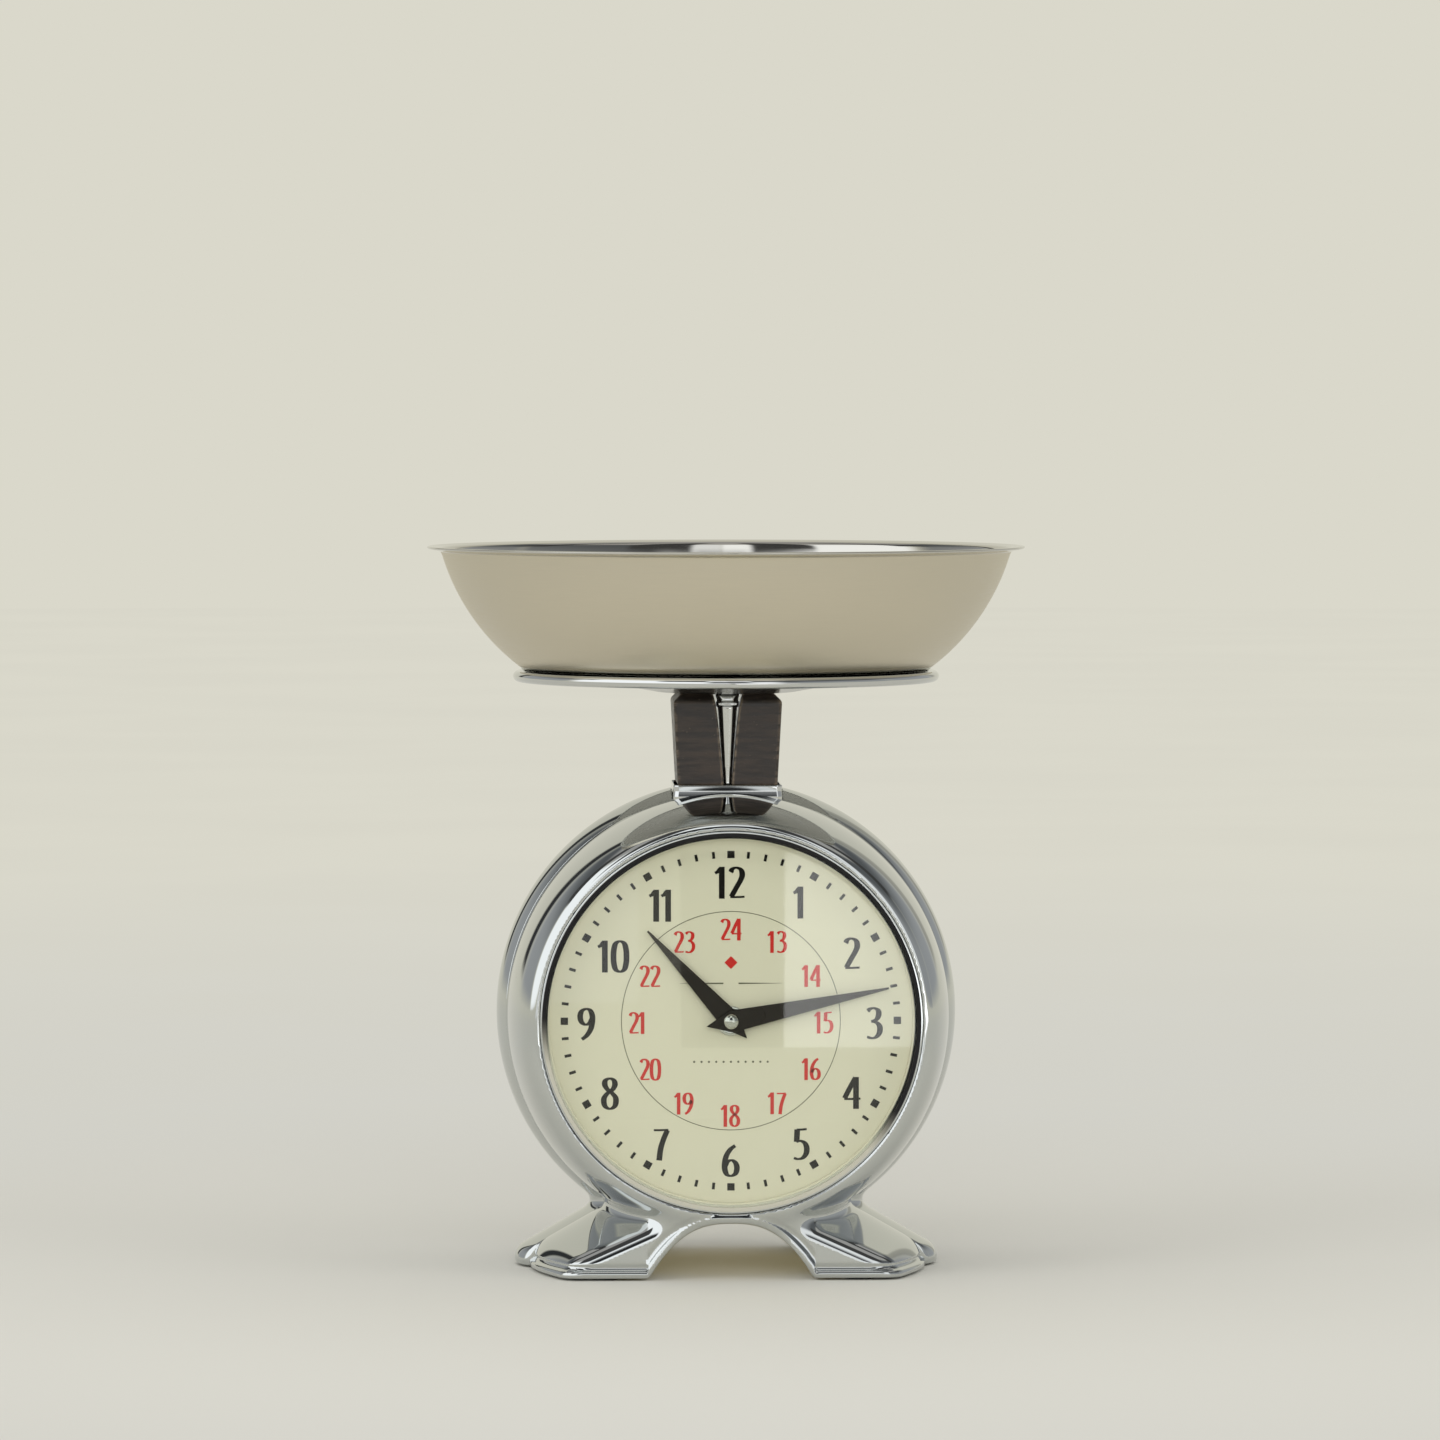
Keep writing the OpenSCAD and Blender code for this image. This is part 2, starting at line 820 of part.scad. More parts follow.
module neck_core() {
    color("silver") difference() {
        union() {
            core_box();
            intersection() {
                along_y(-spine_y, spine_y)
                    polygon([[-spine_low, neck_z0], [spine_low, neck_z0], [spine_top, spine_head_z],
                             [spine_head, neck_z1], [-spine_head, neck_z1], [-spine_top, spine_head_z]]);
                neck_block();
            }
            translate([-shank_half, -shank_half, car_z1])
                cube([2 * shank_half, 2 * shank_half, neck_z0 - car_z1 + 1]);
        }
        for (s = [-1, 1]) {
            translate([0, s * screw_dx, car_z1 - 1]) cylinder(r = m3_r, h = core_tap + 1);
            translate([s * screw_dx, 0, neck_z1 - core_tap]) cylinder(r = m3_r, h = core_tap + 1);
        }
    }
}

module core_screws() {
    low = car_z1 - shank_foot_t;
    color("dimgray") for (s = [-1, 1]) translate([0, s * screw_dx, 0]) {
        translate([0, 0, low]) cylinder(r = m3_r, h = shank_foot_t + core_tap - 1);
        translate([0, 0, low - m3_head_t]) cylinder(r = m3_head_r, h = m3_head_t);
    }
}

// Plate on top of the neck, dished round the screws
plate_t = 1;
dish_r0 = 27;
dish_r1 = 60;

module platform_plate() {
    r_bead = plate_r - bead_r;
    color("silver") difference() {
        rotate_extrude() union() {
            polygon([[0, neck_z1], [dish_r0, neck_z1], [dish_r1, seat_z - plate_t],
                     [r_bead, seat_z - plate_t], [r_bead, seat_z], [dish_r1 - 0.5, seat_z],
                     [dish_r0 - 0.3, neck_z1 + plate_t], [0, neck_z1 + plate_t]]);
            translate([r_bead, seat_z - 0.5]) circle(r = bead_r, $fn = 32);
        }
        for (s = [-1, 1]) translate([s * screw_dx, 0, neck_z1 - 1]) cylinder(r = m3_r + run_gap, h = 5);
    }
}

module platform_screws() {
    color("dimgray") for (s = [-1, 1]) translate([s * screw_dx, 0, 0]) {
        translate([0, 0, neck_z1 - 10]) cylinder(r = m3_r, h = 10 + plate_t);
        translate([0, 0, neck_z1 + plate_t]) cylinder(r = m3_head_r, h = m2_head_t);
    }
}

// Bowl: a flat bottom, a small corner, an upright-leaning arc and an out-turned rim
foot_r = 78.5;
wall_lift = 3.5;
wall_r0 = 82.8;
wall_rad = 88;
wall_a0 = 37.5;
wall_a1 = 73;
wall_steps = 8;
function wall_angle(i) = wall_a0 + (wall_a1 - wall_a0) * i / wall_steps;
function wall_point(a, off) = [wall_r0 + wall_rad * (sin(a) - sin(wall_a0)) - off * sin(a),
                               seat_z + wall_lift + wall_rad * (cos(wall_a0) - cos(a)) + off * cos(a)];

module bowl() {
    rim_z = bowl_top_z - 0.4;
    outer = concat([[0, seat_z], [foot_r, seat_z], [foot_r + 2.1, seat_z + 1]],
                   [for (i = [0 : wall_steps]) wall_point(wall_angle(i), 0)],
                   [[bowl_rim_r - 3.8, rim_z - 1.4], [bowl_rim_r, rim_z]]);
    inner = concat([[bowl_rim_r - 0.2, bowl_top_z], [bowl_rim_r - 4.6, rim_z - 0.5]],
                   [for (i = [wall_steps : -1 : 0]) wall_point(wall_angle(i), bowl_wall)],
                   [[foot_r + 1.5, seat_z + bowl_wall + 1], [foot_r, seat_z + bowl_wall],
                    [0, seat_z + bowl_wall]]);
    color("lightgray") rotate_extrude() polygon(concat(outer, inner));
}

module spring_anchor() {
    color("steelblue") difference() {
        translate([-anchor_half, spring_y - bar_half, anchor_z])
            cube([2 * anchor_half, 2 * bar_half, anchor_t]);
        translate([0, zero_y, anchor_z - 1]) cylinder(r = zero_r + run_gap, h = anchor_t + 2);
        for (s = [-1, 1]) translate([s * spring_x, spring_y, anchor_z - 1])
            cylinder(r = wire_r + wire_clear, h = anchor_t + 2);
    }
}

// Closely wound extension spring with straight tails into the bars
coils = 18;
ring_n = 12;
wire_n = 6;
tail = 6;
coil_z0 = car_z0 + arm_t + tail;
coil_z1 = anchor_z - tail;
run_in = 1.5;
function coil_r(t) = spring_r * min(1, run_in * t * coils, run_in * (1 - t) * coils);
function coil_point(i) = let (t = i / (coils * ring_n), r = coil_r(t))
    [r * cos(360 * i / ring_n), r * sin(360 * i / ring_n), coil_z0 + (coil_z1 - coil_z0) * t];
function spring_path() = concat([[0, 0, car_z0 + 1], [0, 0, coil_z0 - 2]],
                                [for (i = [0 : coils * ring_n]) coil_point(i)],
                                [[0, 0, coil_z1 + 2], [0, 0, anchor_z + anchor_t - 1]]);
function unit(v) = v / norm(v);

module spring() {
    path = spring_path();
    n = len(path);
    rings = [for (i = [0 : n - 1]) let (
                 t = unit(path[min(i + 1, n - 1)] - path[max(i - 1, 0)]),
                 side = unit(abs(t[2]) > 0.95 ? cross(t, [0, 1, 0]) : cross(t, [0, 0, 1])),
                 up = cross(side, t))
             for (k = [0 : wire_n - 1]) let (a = 360 * k / wire_n)
                 path[i] + wire_r * (side * cos(a) + up * sin(a))];
    sides = [for (i = [0 : n - 2], k = [0 : wire_n - 1])
             let (j = (k + 1) % wire_n, a = i * wire_n, b = a + wire_n)
             each [[a + k, a + j, b + j], [a + k, b + j, b + k]]];
    polyhedron(rings, concat([[for (k = [wire_n - 1 : -1 : 0]) k]], sides,
                             [[for (k = [0 : wire_n - 1]) (n - 1) * wire_n + k]]), convexity = 10);
}

module left_spring() {
    color("gray") translate([-spring_x, spring_y, 0]) spring();
}

module right_spring() {
    color("gray") translate([spring_x, spring_y, 0]) spring();
}

module zero_screw() {
    color("silver") translate([0, zero_y, 0]) union() {
        translate([0, 0, zero_low]) cylinder(r = zero_r, h = zero_top - zero_low);
        translate([0, 0, zero_collar_z]) cylinder(r = zero_collar_r, h = 2);
    }
}

module zero_knob() {
    color("saddlebrown") translate([0, zero_y, 0]) difference() {
        union() {
            translate([0, 0, zero_base]) cylinder(r = zero_knob_r, h = zero_knob_h);
            for (a = [0 : zero_grip_step : 359]) rotate(a) translate([zero_knob_r, 0, zero_base])
                cylinder(r = zero_grip_r, h = zero_knob_h, $fn = 24);
        }
        translate([0, 0, zero_base - 1]) cylinder(r = zero_r, h = zero_top - zero_base + 1);
    }
}

centre_band();
front_shell();
rear_shell();
collar();
foot_pads();
case_screws();
front_gasket();
front_glass();
front_dial_ring();
clock_dial();
clock_movement();
battery();
clock_nut();
hour_pipe();
hour_hand();
minute_arbor();
minute_hand();
hand_nut();
set_knob();
rear_gasket();
rear_glass();
rear_dial_ring();
weight_dial();
weight_pointer();
pointer_arbor();
arbor_bush();
front_plate();
rear_plate();
plate_pillars();
plate_screws();
lever_studs();
upper_lever();
lower_lever();
carriage();
carriage_pins();
rack();
neck_core();
core_screws();
left_cheek();
right_cheek();
platform_plate();
platform_screws();
bowl();
spring_anchor();
left_spring();
right_spring();
zero_screw();
zero_knob();
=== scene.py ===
"""Looks of the double-faced kitchen scale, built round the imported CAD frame."""
import math

import bmesh
import bpy
import numpy as np
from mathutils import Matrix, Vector


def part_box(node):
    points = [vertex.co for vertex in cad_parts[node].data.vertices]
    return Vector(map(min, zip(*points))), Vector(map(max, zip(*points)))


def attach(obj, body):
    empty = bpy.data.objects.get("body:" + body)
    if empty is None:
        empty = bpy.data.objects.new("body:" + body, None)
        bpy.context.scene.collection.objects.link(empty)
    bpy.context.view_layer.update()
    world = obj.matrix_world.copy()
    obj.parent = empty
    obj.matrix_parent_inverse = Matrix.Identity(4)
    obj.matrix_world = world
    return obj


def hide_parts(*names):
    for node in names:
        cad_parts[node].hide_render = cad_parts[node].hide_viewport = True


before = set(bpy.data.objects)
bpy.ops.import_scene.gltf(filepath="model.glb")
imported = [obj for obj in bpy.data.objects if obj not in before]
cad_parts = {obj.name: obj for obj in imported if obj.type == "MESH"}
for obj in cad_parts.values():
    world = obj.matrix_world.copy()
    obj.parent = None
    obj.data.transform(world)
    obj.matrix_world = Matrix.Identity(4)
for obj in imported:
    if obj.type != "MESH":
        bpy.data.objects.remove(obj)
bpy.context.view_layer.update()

MM = 0.001


# ---------------------------------------------------------------- frame measures, millimetres
def box_mm(node):
    """Lowest and highest corners of a CAD node, in millimetres."""
    low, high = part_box(node)
    return [c / MM for c in low], [c / MM for c in high]


band_high = box_mm("centre_band")[1]
shell_low = box_mm("front_shell")[0]
dial_low, dial_high = box_mm("clock_dial")
glass_high = box_mm("front_glass")[1]
gasket_high = box_mm("front_gasket")[1]
collar_low, collar_high = box_mm("collar")
plate_low, plate_high = box_mm("platform_plate")
bowl_low, bowl_high = box_mm("bowl")
cheek_low, cheek_high = box_mm("right_cheek")
knob_low, knob_high = box_mm("zero_knob")

# Drum: radii from the axis, and distances to the front or rear of the middle plane.
AXIS_Z = (dial_low[2] + dial_high[2]) / 2
CROWN_R = max(band_high[2] - AXIS_Z, band_high[0])
RIDGE_R = 88.2
LIP_R = 76.5
OPEN_R = gasket_high[0]
GLASS_R = glass_high[0]
LEDGE_R = 68.0
LEDGE_T = 2.0
WALL = 2.5
BAND_Y = band_high[1]
SHELL_Y = -shell_low[1]
DIAL_Y = -dial_low[1]
DIAL_BACK = -dial_high[1]

# Base, its arch and its foot pads.
FLOOR_Z = 25.5
SHOULDER_Z = 27.0
PAD_GAP = 0.8
BASE_Y = 64.0
ARCH_X = 33.0
ARCH_Z = 22.6
ARCH_POWER = 2.5
PAD_X, PAD_Y, PAD_R, PAD_TOP = 50.0, 54.0, 6.05, 2.0
POCKET_X = 37.0

# Bosses for the case screws, lugs for the pillars of the works, the collar and the zero knob.
SCREW_R = 74.0
SCREW_ANGLES = (35, 145, 215, 325)
SCREW_END = 48.0
BOSS_R, BOSS_HOLE_R = 4.0, 1.6
RIB_HALF = 2.0
UNDER_SKIN = 1.7
PILLAR = (49.0, 46.0)
PILLAR_HOLE_R = 3.05
LUG_HALF, LUG_DEPTH, LUG_REACH = 5.0, 6.0, 62.0
COLLAR_HALF = collar_high[0]
KNOB_Y = 35.0


# ---------------------------------------------------------------- material tools
def srgb(r, g, b):
    """Linear colour from 0-255 display values."""
    def linear(c):
        c /= 255
        return c / 12.92 if c <= 0.04045 else ((c + 0.055) / 1.055) ** 2.4
    return (linear(r), linear(g), linear(b), 1.0)


class Nodes:
    """A short way to write a node tree."""

    def __init__(self, tree):
        self.tree = tree

    def add(self, kind, values=(), **settings):
        """A node with its settings; each value is a constant or the socket that feeds it."""
        node = self.tree.nodes.new(kind)
        for name, value in settings.items():
            setattr(node, name, value)
        for key, value in dict(values).items():
            if isinstance(value, bpy.types.NodeSocket):
                self.tree.links.new(value, node.inputs[key])
            else:
                node.inputs[key].default_value = value
        return node

    def math(self, operation, a, b=0.0):
        return self.add("ShaderNodeMath", {0: a, 1: b}, operation=operation).outputs[0]

    def ramp(self, value, low, high, to_low=0.0, to_high=1.0):
        """Smooth change from to_low to to_high while the value runs from low to high."""
        return self.add("ShaderNodeMapRange", {0: value, 1: low, 2: high, 3: to_low, 4: to_high},
                        interpolation_type="SMOOTHSTEP").outputs[0]

    def mix(self, factor, a, b):
        node = self.add("ShaderNodeMix", data_type="RGBA")
        for socket, value in ((node.inputs[0], factor), (node.inputs[6], a), (node.inputs[7], b)):
            if isinstance(value, bpy.types.NodeSocket):
                self.tree.links.new(value, socket)
            else:
                socket.default_value = value
        return node.outputs[2]

    def coords(self, scale=(1, 1, 1)):
        source = self.add("ShaderNodeTexCoord").outputs["Object"]
        return self.add("ShaderNodeMapping", {"Vector": source, "Scale": scale}).outputs[0]

    def noise(self, vector, scale, detail=3.0, roughness=0.5):
        return self.add("ShaderNodeTexNoise", {"Vector": vector, "Scale": scale, "Detail": detail,
                                               "Roughness": roughness}).outputs[0]

    def bump(self, height, strength, distance):
        return self.add("ShaderNodeBump", {"Height": height, "Strength": strength,
                                           "Distance": distance}).outputs[0]


def material(name):
    """A new material with its node tools and its Principled shader."""
    mat = bpy.data.materials.new(name)
    mat.use_nodes = True
    nodes = Nodes(mat.node_tree)
    shader = next(n for n in mat.node_tree.nodes if n.type == "BSDF_PRINCIPLED")
    return mat, nodes, shader


def tone(tint, factor=1.0):
    """Value of a colour socket from a tint, made darker or brighter."""
    return (*[c * factor for c in tint], 1)


def dress(nodes, shader, colour, rough, normal):
    """Feeds a Principled shader's colour, roughness and normal."""
    for name, value in (("Base Color", colour), ("Roughness", rough), ("Normal", normal)):
        nodes.tree.links.new(value, shader.inputs[name])


def show(nodes, shader):
    """Makes a shader the surface of the material."""
    output = next(node for node in nodes.tree.nodes if node.type == "OUTPUT_MATERIAL")
    nodes.tree.links.new(shader, output.inputs["Surface"])


def chrome(name, tint=(0.60, 0.62, 0.61), rough=0.04, smudge=0.04):
    """Bright plating: faint smudges in the gloss, a very slight waviness and fine scratches."""
    mat, n, s = material(name)
    s.inputs["Metallic"].default_value = 1.0
    broad = n.noise(n.coords(), 22.0, 3.0)
    fine = n.noise(n.coords((1, 1, 6)), 400.0, 2.0)
    gloss = n.ramp(broad, 0.42, 0.75, rough, rough + smudge)
    scratch = n.ramp(fine, 0.70, 0.8, 0.0, 0.015)
    dress(n, s, n.mix(broad, tone(tint, 0.97), tone(tint)), n.math("ADD", gloss, scratch),
          n.bump(broad, 0.03, 0.0003))
    return mat


def satin_steel(name, tint, rough=0.3, ring=True, streak=0.5, relief=0.08):
    """Brushed metal; the brushing runs round a turned piece or along Z."""
    mat, n, s = material(name)
    s.inputs["Metallic"].default_value = 1.0
    s.inputs["Anisotropic"].default_value = streak
    line = n.noise(n.coords((0.03, 0.03, 1) if ring else (1, 1, 0.03)), 2600.0, 4.0, 0.65)
    patch = n.noise(n.coords(), 18.0, 3.0)
    gloss = n.math("ADD", n.ramp(line, 0.3, 0.7, rough - 0.05, rough + 0.06),
                   n.ramp(patch, 0.3, 0.8, 0.0, 0.05))
    dress(n, s, n.mix(line, tone(tint, 0.9), tone(tint)), gloss, n.bump(line, relief, 0.00005))
    return mat


def moulding(name, tint, edge, rough=0.35):
    """Dark moulded resin with flow streaks and specks, and paler edges that are a painted highlight."""
    mat, n, s = material(name)
    streak = n.noise(n.coords((1, 1, 7)), 60.0, 5.0, 0.6)
    speck = n.noise(n.coords(), 900.0, 2.0)
    crease = n.add("ShaderNodeNewGeometry").outputs["Pointiness"]
    # painted highlight: convex edges (pointiness) are tinted pale, broken up by the streaks; the same pale
    # tint also colours the specks, which are real marks
    edge_highlight = n.math("MULTIPLY", n.ramp(crease, 0.505, 0.54), n.ramp(streak, 0.40, 0.56, 0.1, 1.0))
    base = n.mix(n.ramp(streak, 0.34, 0.66), tone(tint, 0.45), tone(tint, 1.3))
    base = n.mix(n.ramp(speck, 0.70, 0.78, 0.0, 0.6), base, tone(edge))
    grain = n.math("ADD", streak, n.math("MULTIPLY", speck, 0.3))
    dress(n, s, n.mix(edge_highlight, base, tone(edge)), n.ramp(streak, 0.25, 0.75, rough - 0.08, rough + 0.12),
          n.bump(grain, 0.25, 0.0003))
    return mat


def paint(name, tint, rough=0.4, speckle=0.04, grain=500.0, shine=0.5):
    """Even paint, enamel or plastic with a fine orange peel and a little colour drift."""
    mat, n, s = material(name)
    s.inputs["Specular IOR Level"].default_value = shine
    broad = n.noise(n.coords(), 25.0, 3.0)
    fine = n.noise(n.coords(), grain, 3.0)
    drift = n.math("MULTIPLY", n.math("ADD", broad, fine), 0.5)
    dress(n, s, n.mix(drift, tone(tint, 1 - speckle), tone(tint)),
          n.ramp(broad, 0.3, 0.7, rough - 0.04, rough + 0.06), n.bump(fine, 0.08, 0.0001))
    return mat


def seal(name, dark, pale):
    """Sealing ring with painted shade: black above and over the sides where shade falls in its recess, pale
    along its lower quarter.
    """
    mat, n, s = material(name)
    s.inputs["Specular IOR Level"].default_value = 0.15
    x, _, z = n.add("ShaderNodeSeparateXYZ", {0: n.coords()}).outputs
    up = n.math("SUBTRACT", z, AXIS_Z * MM)
    reach = n.math("SQRT", n.math("ADD", n.math("MULTIPLY", x, x), n.math("MULTIPLY", up, up)))
    lean = n.math("ADD", n.math("MULTIPLY", x, 0.26), n.math("MULTIPLY", up, 0.97))
    grain = n.noise(n.coords(), 400.0, 3.0)
    # painted shade: the seal's own pale colour stays only on its lower quarter; the rest is turned black by
    # direction from the axis, standing in for shade in the recess
    low = n.ramp(n.math("DIVIDE", lean, reach), -0.50, -0.22, 1.0, 0.0)
    dress(n, s, n.mix(low, tone(dark), tone(pale)), n.ramp(grain, 0.3, 0.7, 0.42, 0.56),
          n.bump(grain, 0.08, 0.0001))
    return mat


def clear_glass(name):
    """Thin flat glass: mostly clear, with a mirror-like reflection and faint dust in the gloss."""
    mat, n, s = material(name)
    dust = n.noise(n.coords(), 30.0, 4.0)
    clear = n.add("ShaderNodeBsdfTransparent", {"Color": (0.97, 0.98, 0.95, 1)}).outputs[0]
    gloss = n.add("ShaderNodeBsdfGlossy", {"Color": (1, 1, 1, 1), "Roughness": 0.015}).outputs[0]
    away = n.add("ShaderNodeLayerWeight", {"Blend": 0.5}).outputs["Facing"]
    weight = n.math("ADD", n.math("MULTIPLY", n.math("POWER", away, 5.0), 0.8), 0.034)
    weight = n.math("ADD", weight, n.ramp(dust, 0.5, 0.9, 0.0, 0.008))
    show(n, n.add("ShaderNodeMixShader", {0: weight, 1: clear, 2: gloss}).outputs[0])
    n.tree.nodes.remove(s)
    return mat


MAT = {
    "chrome": chrome("chrome_plate"),
    "trim": chrome("chrome_trim", (0.64, 0.65, 0.64), 0.05, 0.04),
    "polish": chrome("polished_steel", (0.60, 0.585, 0.54), 0.06, 0.04),
    "bowl": satin_steel("satin_bowl_steel", (0.70, 0.645, 0.52), 0.33),
    "plate": satin_steel("satin_plate_steel", (0.53, 0.525, 0.50), 0.20, streak=0.2, relief=0.01),
    "lip": seal("outer_seal", (0.018, 0.019, 0.022), (0.62, 0.62, 0.57)),
    "bead": seal("inner_seal", (0.012, 0.012, 0.013), (0.50, 0.49, 0.42)),
    "zinc": satin_steel("zinc_plated_steel", (0.62, 0.63, 0.62), 0.38, ring=False),
    "spring": satin_steel("spring_wire", (0.5, 0.5, 0.5), 0.3, ring=False),
    "screw": satin_steel("screw_steel", (0.55, 0.55, 0.53), 0.33, ring=False),
    "brass": satin_steel("machined_brass", (0.78, 0.56, 0.25), 0.26, ring=False),
    "cheek": moulding("dark_brown_moulding", (0.036, 0.026, 0.020), (0.20, 0.155, 0.11)),
    "black": paint("black_moulded_plastic", (0.028, 0.028, 0.03), 0.5, 0.2),
    "white": paint("white_moulded_plastic", (0.74, 0.73, 0.68), 0.35),
    "sleeve": paint("battery_sleeve", (0.33, 0.26, 0.09), 0.35),
    "cream": paint("cream_dial_enamel", (0.725, 0.70, 0.595), 0.42, 0.03),
    "ink": paint("black_dial_ink", (0.010, 0.009, 0.008), 0.45, 0.25, shine=0.06),
    "red": paint("red_dial_ink", (0.62, 0.03, 0.027), 0.45, 0.12, shine=0.15),
    "fine": paint("grey_dial_ink", (0.13, 0.13, 0.09), 0.5, 0.15, shine=0.1),
    "hand": paint("black_brown_hand_paint", (0.014, 0.010, 0.007), 0.28, 0.2, shine=0.3),
    "pointer": paint("red_pointer_paint", (0.42, 0.025, 0.02), 0.3),
    "rubber": paint("black_rubber", (0.012, 0.012, 0.013), 0.55, 0.2),
    "glass": clear_glass("clear_glass"),
}


# ---------------------------------------------------------------- mesh tools, millimetres in
def make_piece(name, verts, faces, mat, body, slot, replaces=(), normals=None, smooth=True):
    """A mesh object from millimetre points, with its body and the CAD nodes it stands for; slot is not used.
    """
    mesh = bpy.data.meshes.new(name)
    points = np.asarray(verts, dtype=float) * MM
    mesh.from_pydata(points.tolist(), [], [list(map(int, f)) for f in faces])
    mesh.validate()
    mesh.update()
    mesh.polygons.foreach_set("use_smooth", [smooth] * len(mesh.polygons))
    if normals is not None and len(normals) == len(mesh.vertices):
        mesh.normals_split_custom_set_from_vertices(np.asarray(normals).tolist())
    obj = bpy.data.objects.new(name, mesh)
    bpy.context.scene.collection.objects.link(obj)
    for m in mat if isinstance(mat, (list, tuple)) else [mat]:
        mesh.materials.append(m)
    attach(obj, body)
    if replaces:
        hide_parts(*replaces)
    return obj


def rounded(corners, closed=True, steps=6):
    """Outline through corners (x, y, radius), each corner rounded by an arc."""
    points = []
    count = len(corners)
    for i, (x, y, r) in enumerate(corners):
        here = np.array([x, y], float)
        if r <= 0 or (not closed and i in (0, count - 1)):
            points.append(here)
            continue
        back = np.array(corners[i - 1][:2], float) - here
        ahead = np.array(corners[(i + 1) % count][:2], float) - here
        back_l, ahead_l = np.linalg.norm(back), np.linalg.norm(ahead)
        back, ahead = back / back_l, ahead / ahead_l
        half = math.acos(max(-1, min(1, float(back @ ahead)))) / 2
        if half > math.pi / 2 - 0.01:
            points.append(here)
            continue
        reach = min(r / math.tan(half), back_l * 0.49, ahead_l * 0.49)
        radius = reach * math.tan(half)
        centre = here + (back + ahead) / np.linalg.norm(back + ahead) * radius / math.sin(half)
        start, end = here + back * reach - centre, here + ahead * reach - centre
        a0, a1 = math.atan2(start[1], start[0]), math.atan2(end[1], end[0])
        turn = (a1 - a0 + math.pi) % (2 * math.pi) - math.pi
        for k in range(steps + 1):
            a = a0 + turn * k / steps
            points.append(centre + radius * np.array([math.cos(a), math.sin(a)]))
    return np.array(points)


def turn_about(profile, axis="z", centre=(0, 0, 0), segments=180):
    """Points and faces of a closed (radius, height) profile turned about Z or Y."""
    verts, rings = [], []
    for r, h in profile:
        if r < 1e-6:
            rings.append([len(verts)])
            verts.append((0.0, 0.0, h))
            continue
        rings.append(list(range(len(verts), len(verts) + segments)))
        for k in range(segments):
            a = 2 * math.pi * k / segments
            verts.append((r * math.cos(a), r * math.sin(a), h))
    faces, owner = [], []
    for i, ring in enumerate(rings):
        nxt = rings[(i + 1) % len(rings)]
        if len(ring) == 1 and len(nxt) == 1:
            continue
        for k in range(segments):
            j = (k + 1) % segments
            if len(ring) == 1:
                face = (ring[0], nxt[j], nxt[k])
            elif len(nxt) == 1:
                face = (ring[k], ring[j], nxt[0])
            else:
                face = (ring[k], ring[j], nxt[j], nxt[k])
            faces.append(face)
            owner.append(i)
    verts = np.array(verts)
    if axis == "y":
        verts = np.stack([verts[:, 0], verts[:, 2], verts[:, 1]], axis=1)
        faces = [tuple(reversed(f)) for f in faces]
    return verts + np.array(centre), faces, owner


def lathe(name, profile, mat, body, slot, axis="z", centre=(0, 0, 0), replaces=(), segments=180,
          pick=None, sharp=30):
    """A turned piece; pick gives the material index from a profile point's number."""
    area = sum(a[0] * b[1] - b[0] * a[1] for a, b in zip(profile, np.roll(profile, -1, axis=0)))
    if area < 0:
        profile = profile[::-1]
    verts, faces, owner = turn_about(profile, axis, centre, segments)
    obj = make_piece(name, verts, faces, mat, body, slot, replaces)
    if pick is not None:
        count = len(profile)
        for poly, o in zip(obj.data.polygons, owner):
            poly.material_index = pick(count - 1 - o if area < 0 else o, profile[o])
    obj.data.set_sharp_from_angle(angle=math.radians(sharp))
    return obj


def prism_y(outline, y_front, y_back, bevel=0.0):
    """Closed plate from an (x, z) outline; its front edge is bevelled by insetting the outline."""
    pts = np.asarray(outline, float)
    area = float(np.sum(pts[:, 0] * np.roll(pts[:, 1], -1) - np.roll(pts[:, 0], -1) * pts[:, 1]))
    if area < 0:
        pts = pts[::-1]
    count = len(pts)
    edge = np.roll(pts, -1, axis=0) - pts
    edge /= np.linalg.norm(edge, axis=1)[:, None] + 1e-12
    inward = np.stack([-edge[:, 1], edge[:, 0]], axis=1)
    joint = inward + np.roll(inward, 1, axis=0)
    joint /= np.maximum(np.sum(joint * inward, axis=1), 0.35)[:, None]
    sign = 1 if y_back > y_front else -1
    rows = [(pts + joint * bevel, y_front), (pts, y_front + sign * bevel), (pts, y_back)]
    if bevel <= 0:
        rows = rows[1:]
    verts = [(x, y, z) for row, y in rows for x, z in row]
    faces = [list(range(count))]
    for r in range(len(rows) - 1):
        for k in range(count):
            j = (k + 1) % count
            faces.append((r * count + k, (r + 1) * count + k, (r + 1) * count + j, r * count + j))
    faces.append([(len(rows) - 1) * count + k for k in range(count - 1, -1, -1)])
    if sign < 0:
        faces = [list(reversed(f)) for f in faces]
    return verts, faces


def ring_faces(rows, count):
    """Quads between closed rings of points, the last ring joined to the first."""
    faces = []
    for i in range(rows):
        here, there = i * count, (i + 1) % rows * count
        for k in range(count):
            j = (k + 1) % count
            faces.append((here + k, here + j, there + j, there + k))
    return faces


def strip_faces(n):
    """Faces of a raised strip with n points on each of four edges: two at its foot, two on top."""
    faces = [[a * n + i, b * n + i, b * n + i + 1, a * n + i + 1]
             for i in range(n - 1) for a, b in ((0, 1), (3, 2), (2, 0), (1, 3))]
    return faces + [[0, 2 * n, 3 * n, n], [n - 1, 2 * n - 1, 4 * n - 1, 3 * n - 1]]


def fix_outward(obj):
    """Turns every face outward."""
    mesh = bmesh.new()
    mesh.from_mesh(obj.data)
    bmesh.ops.recalc_face_normals(mesh, faces=mesh.faces)
    mesh.to_mesh(obj.data)
    mesh.free()


def join_parts(parts):
    """One list of points and faces from several."""
    verts, faces = [], []
    for v, f in parts:
        start = len(verts)
        verts.extend(v)
        faces.extend([[i + start for i in face] for face in f])
    return verts, faces


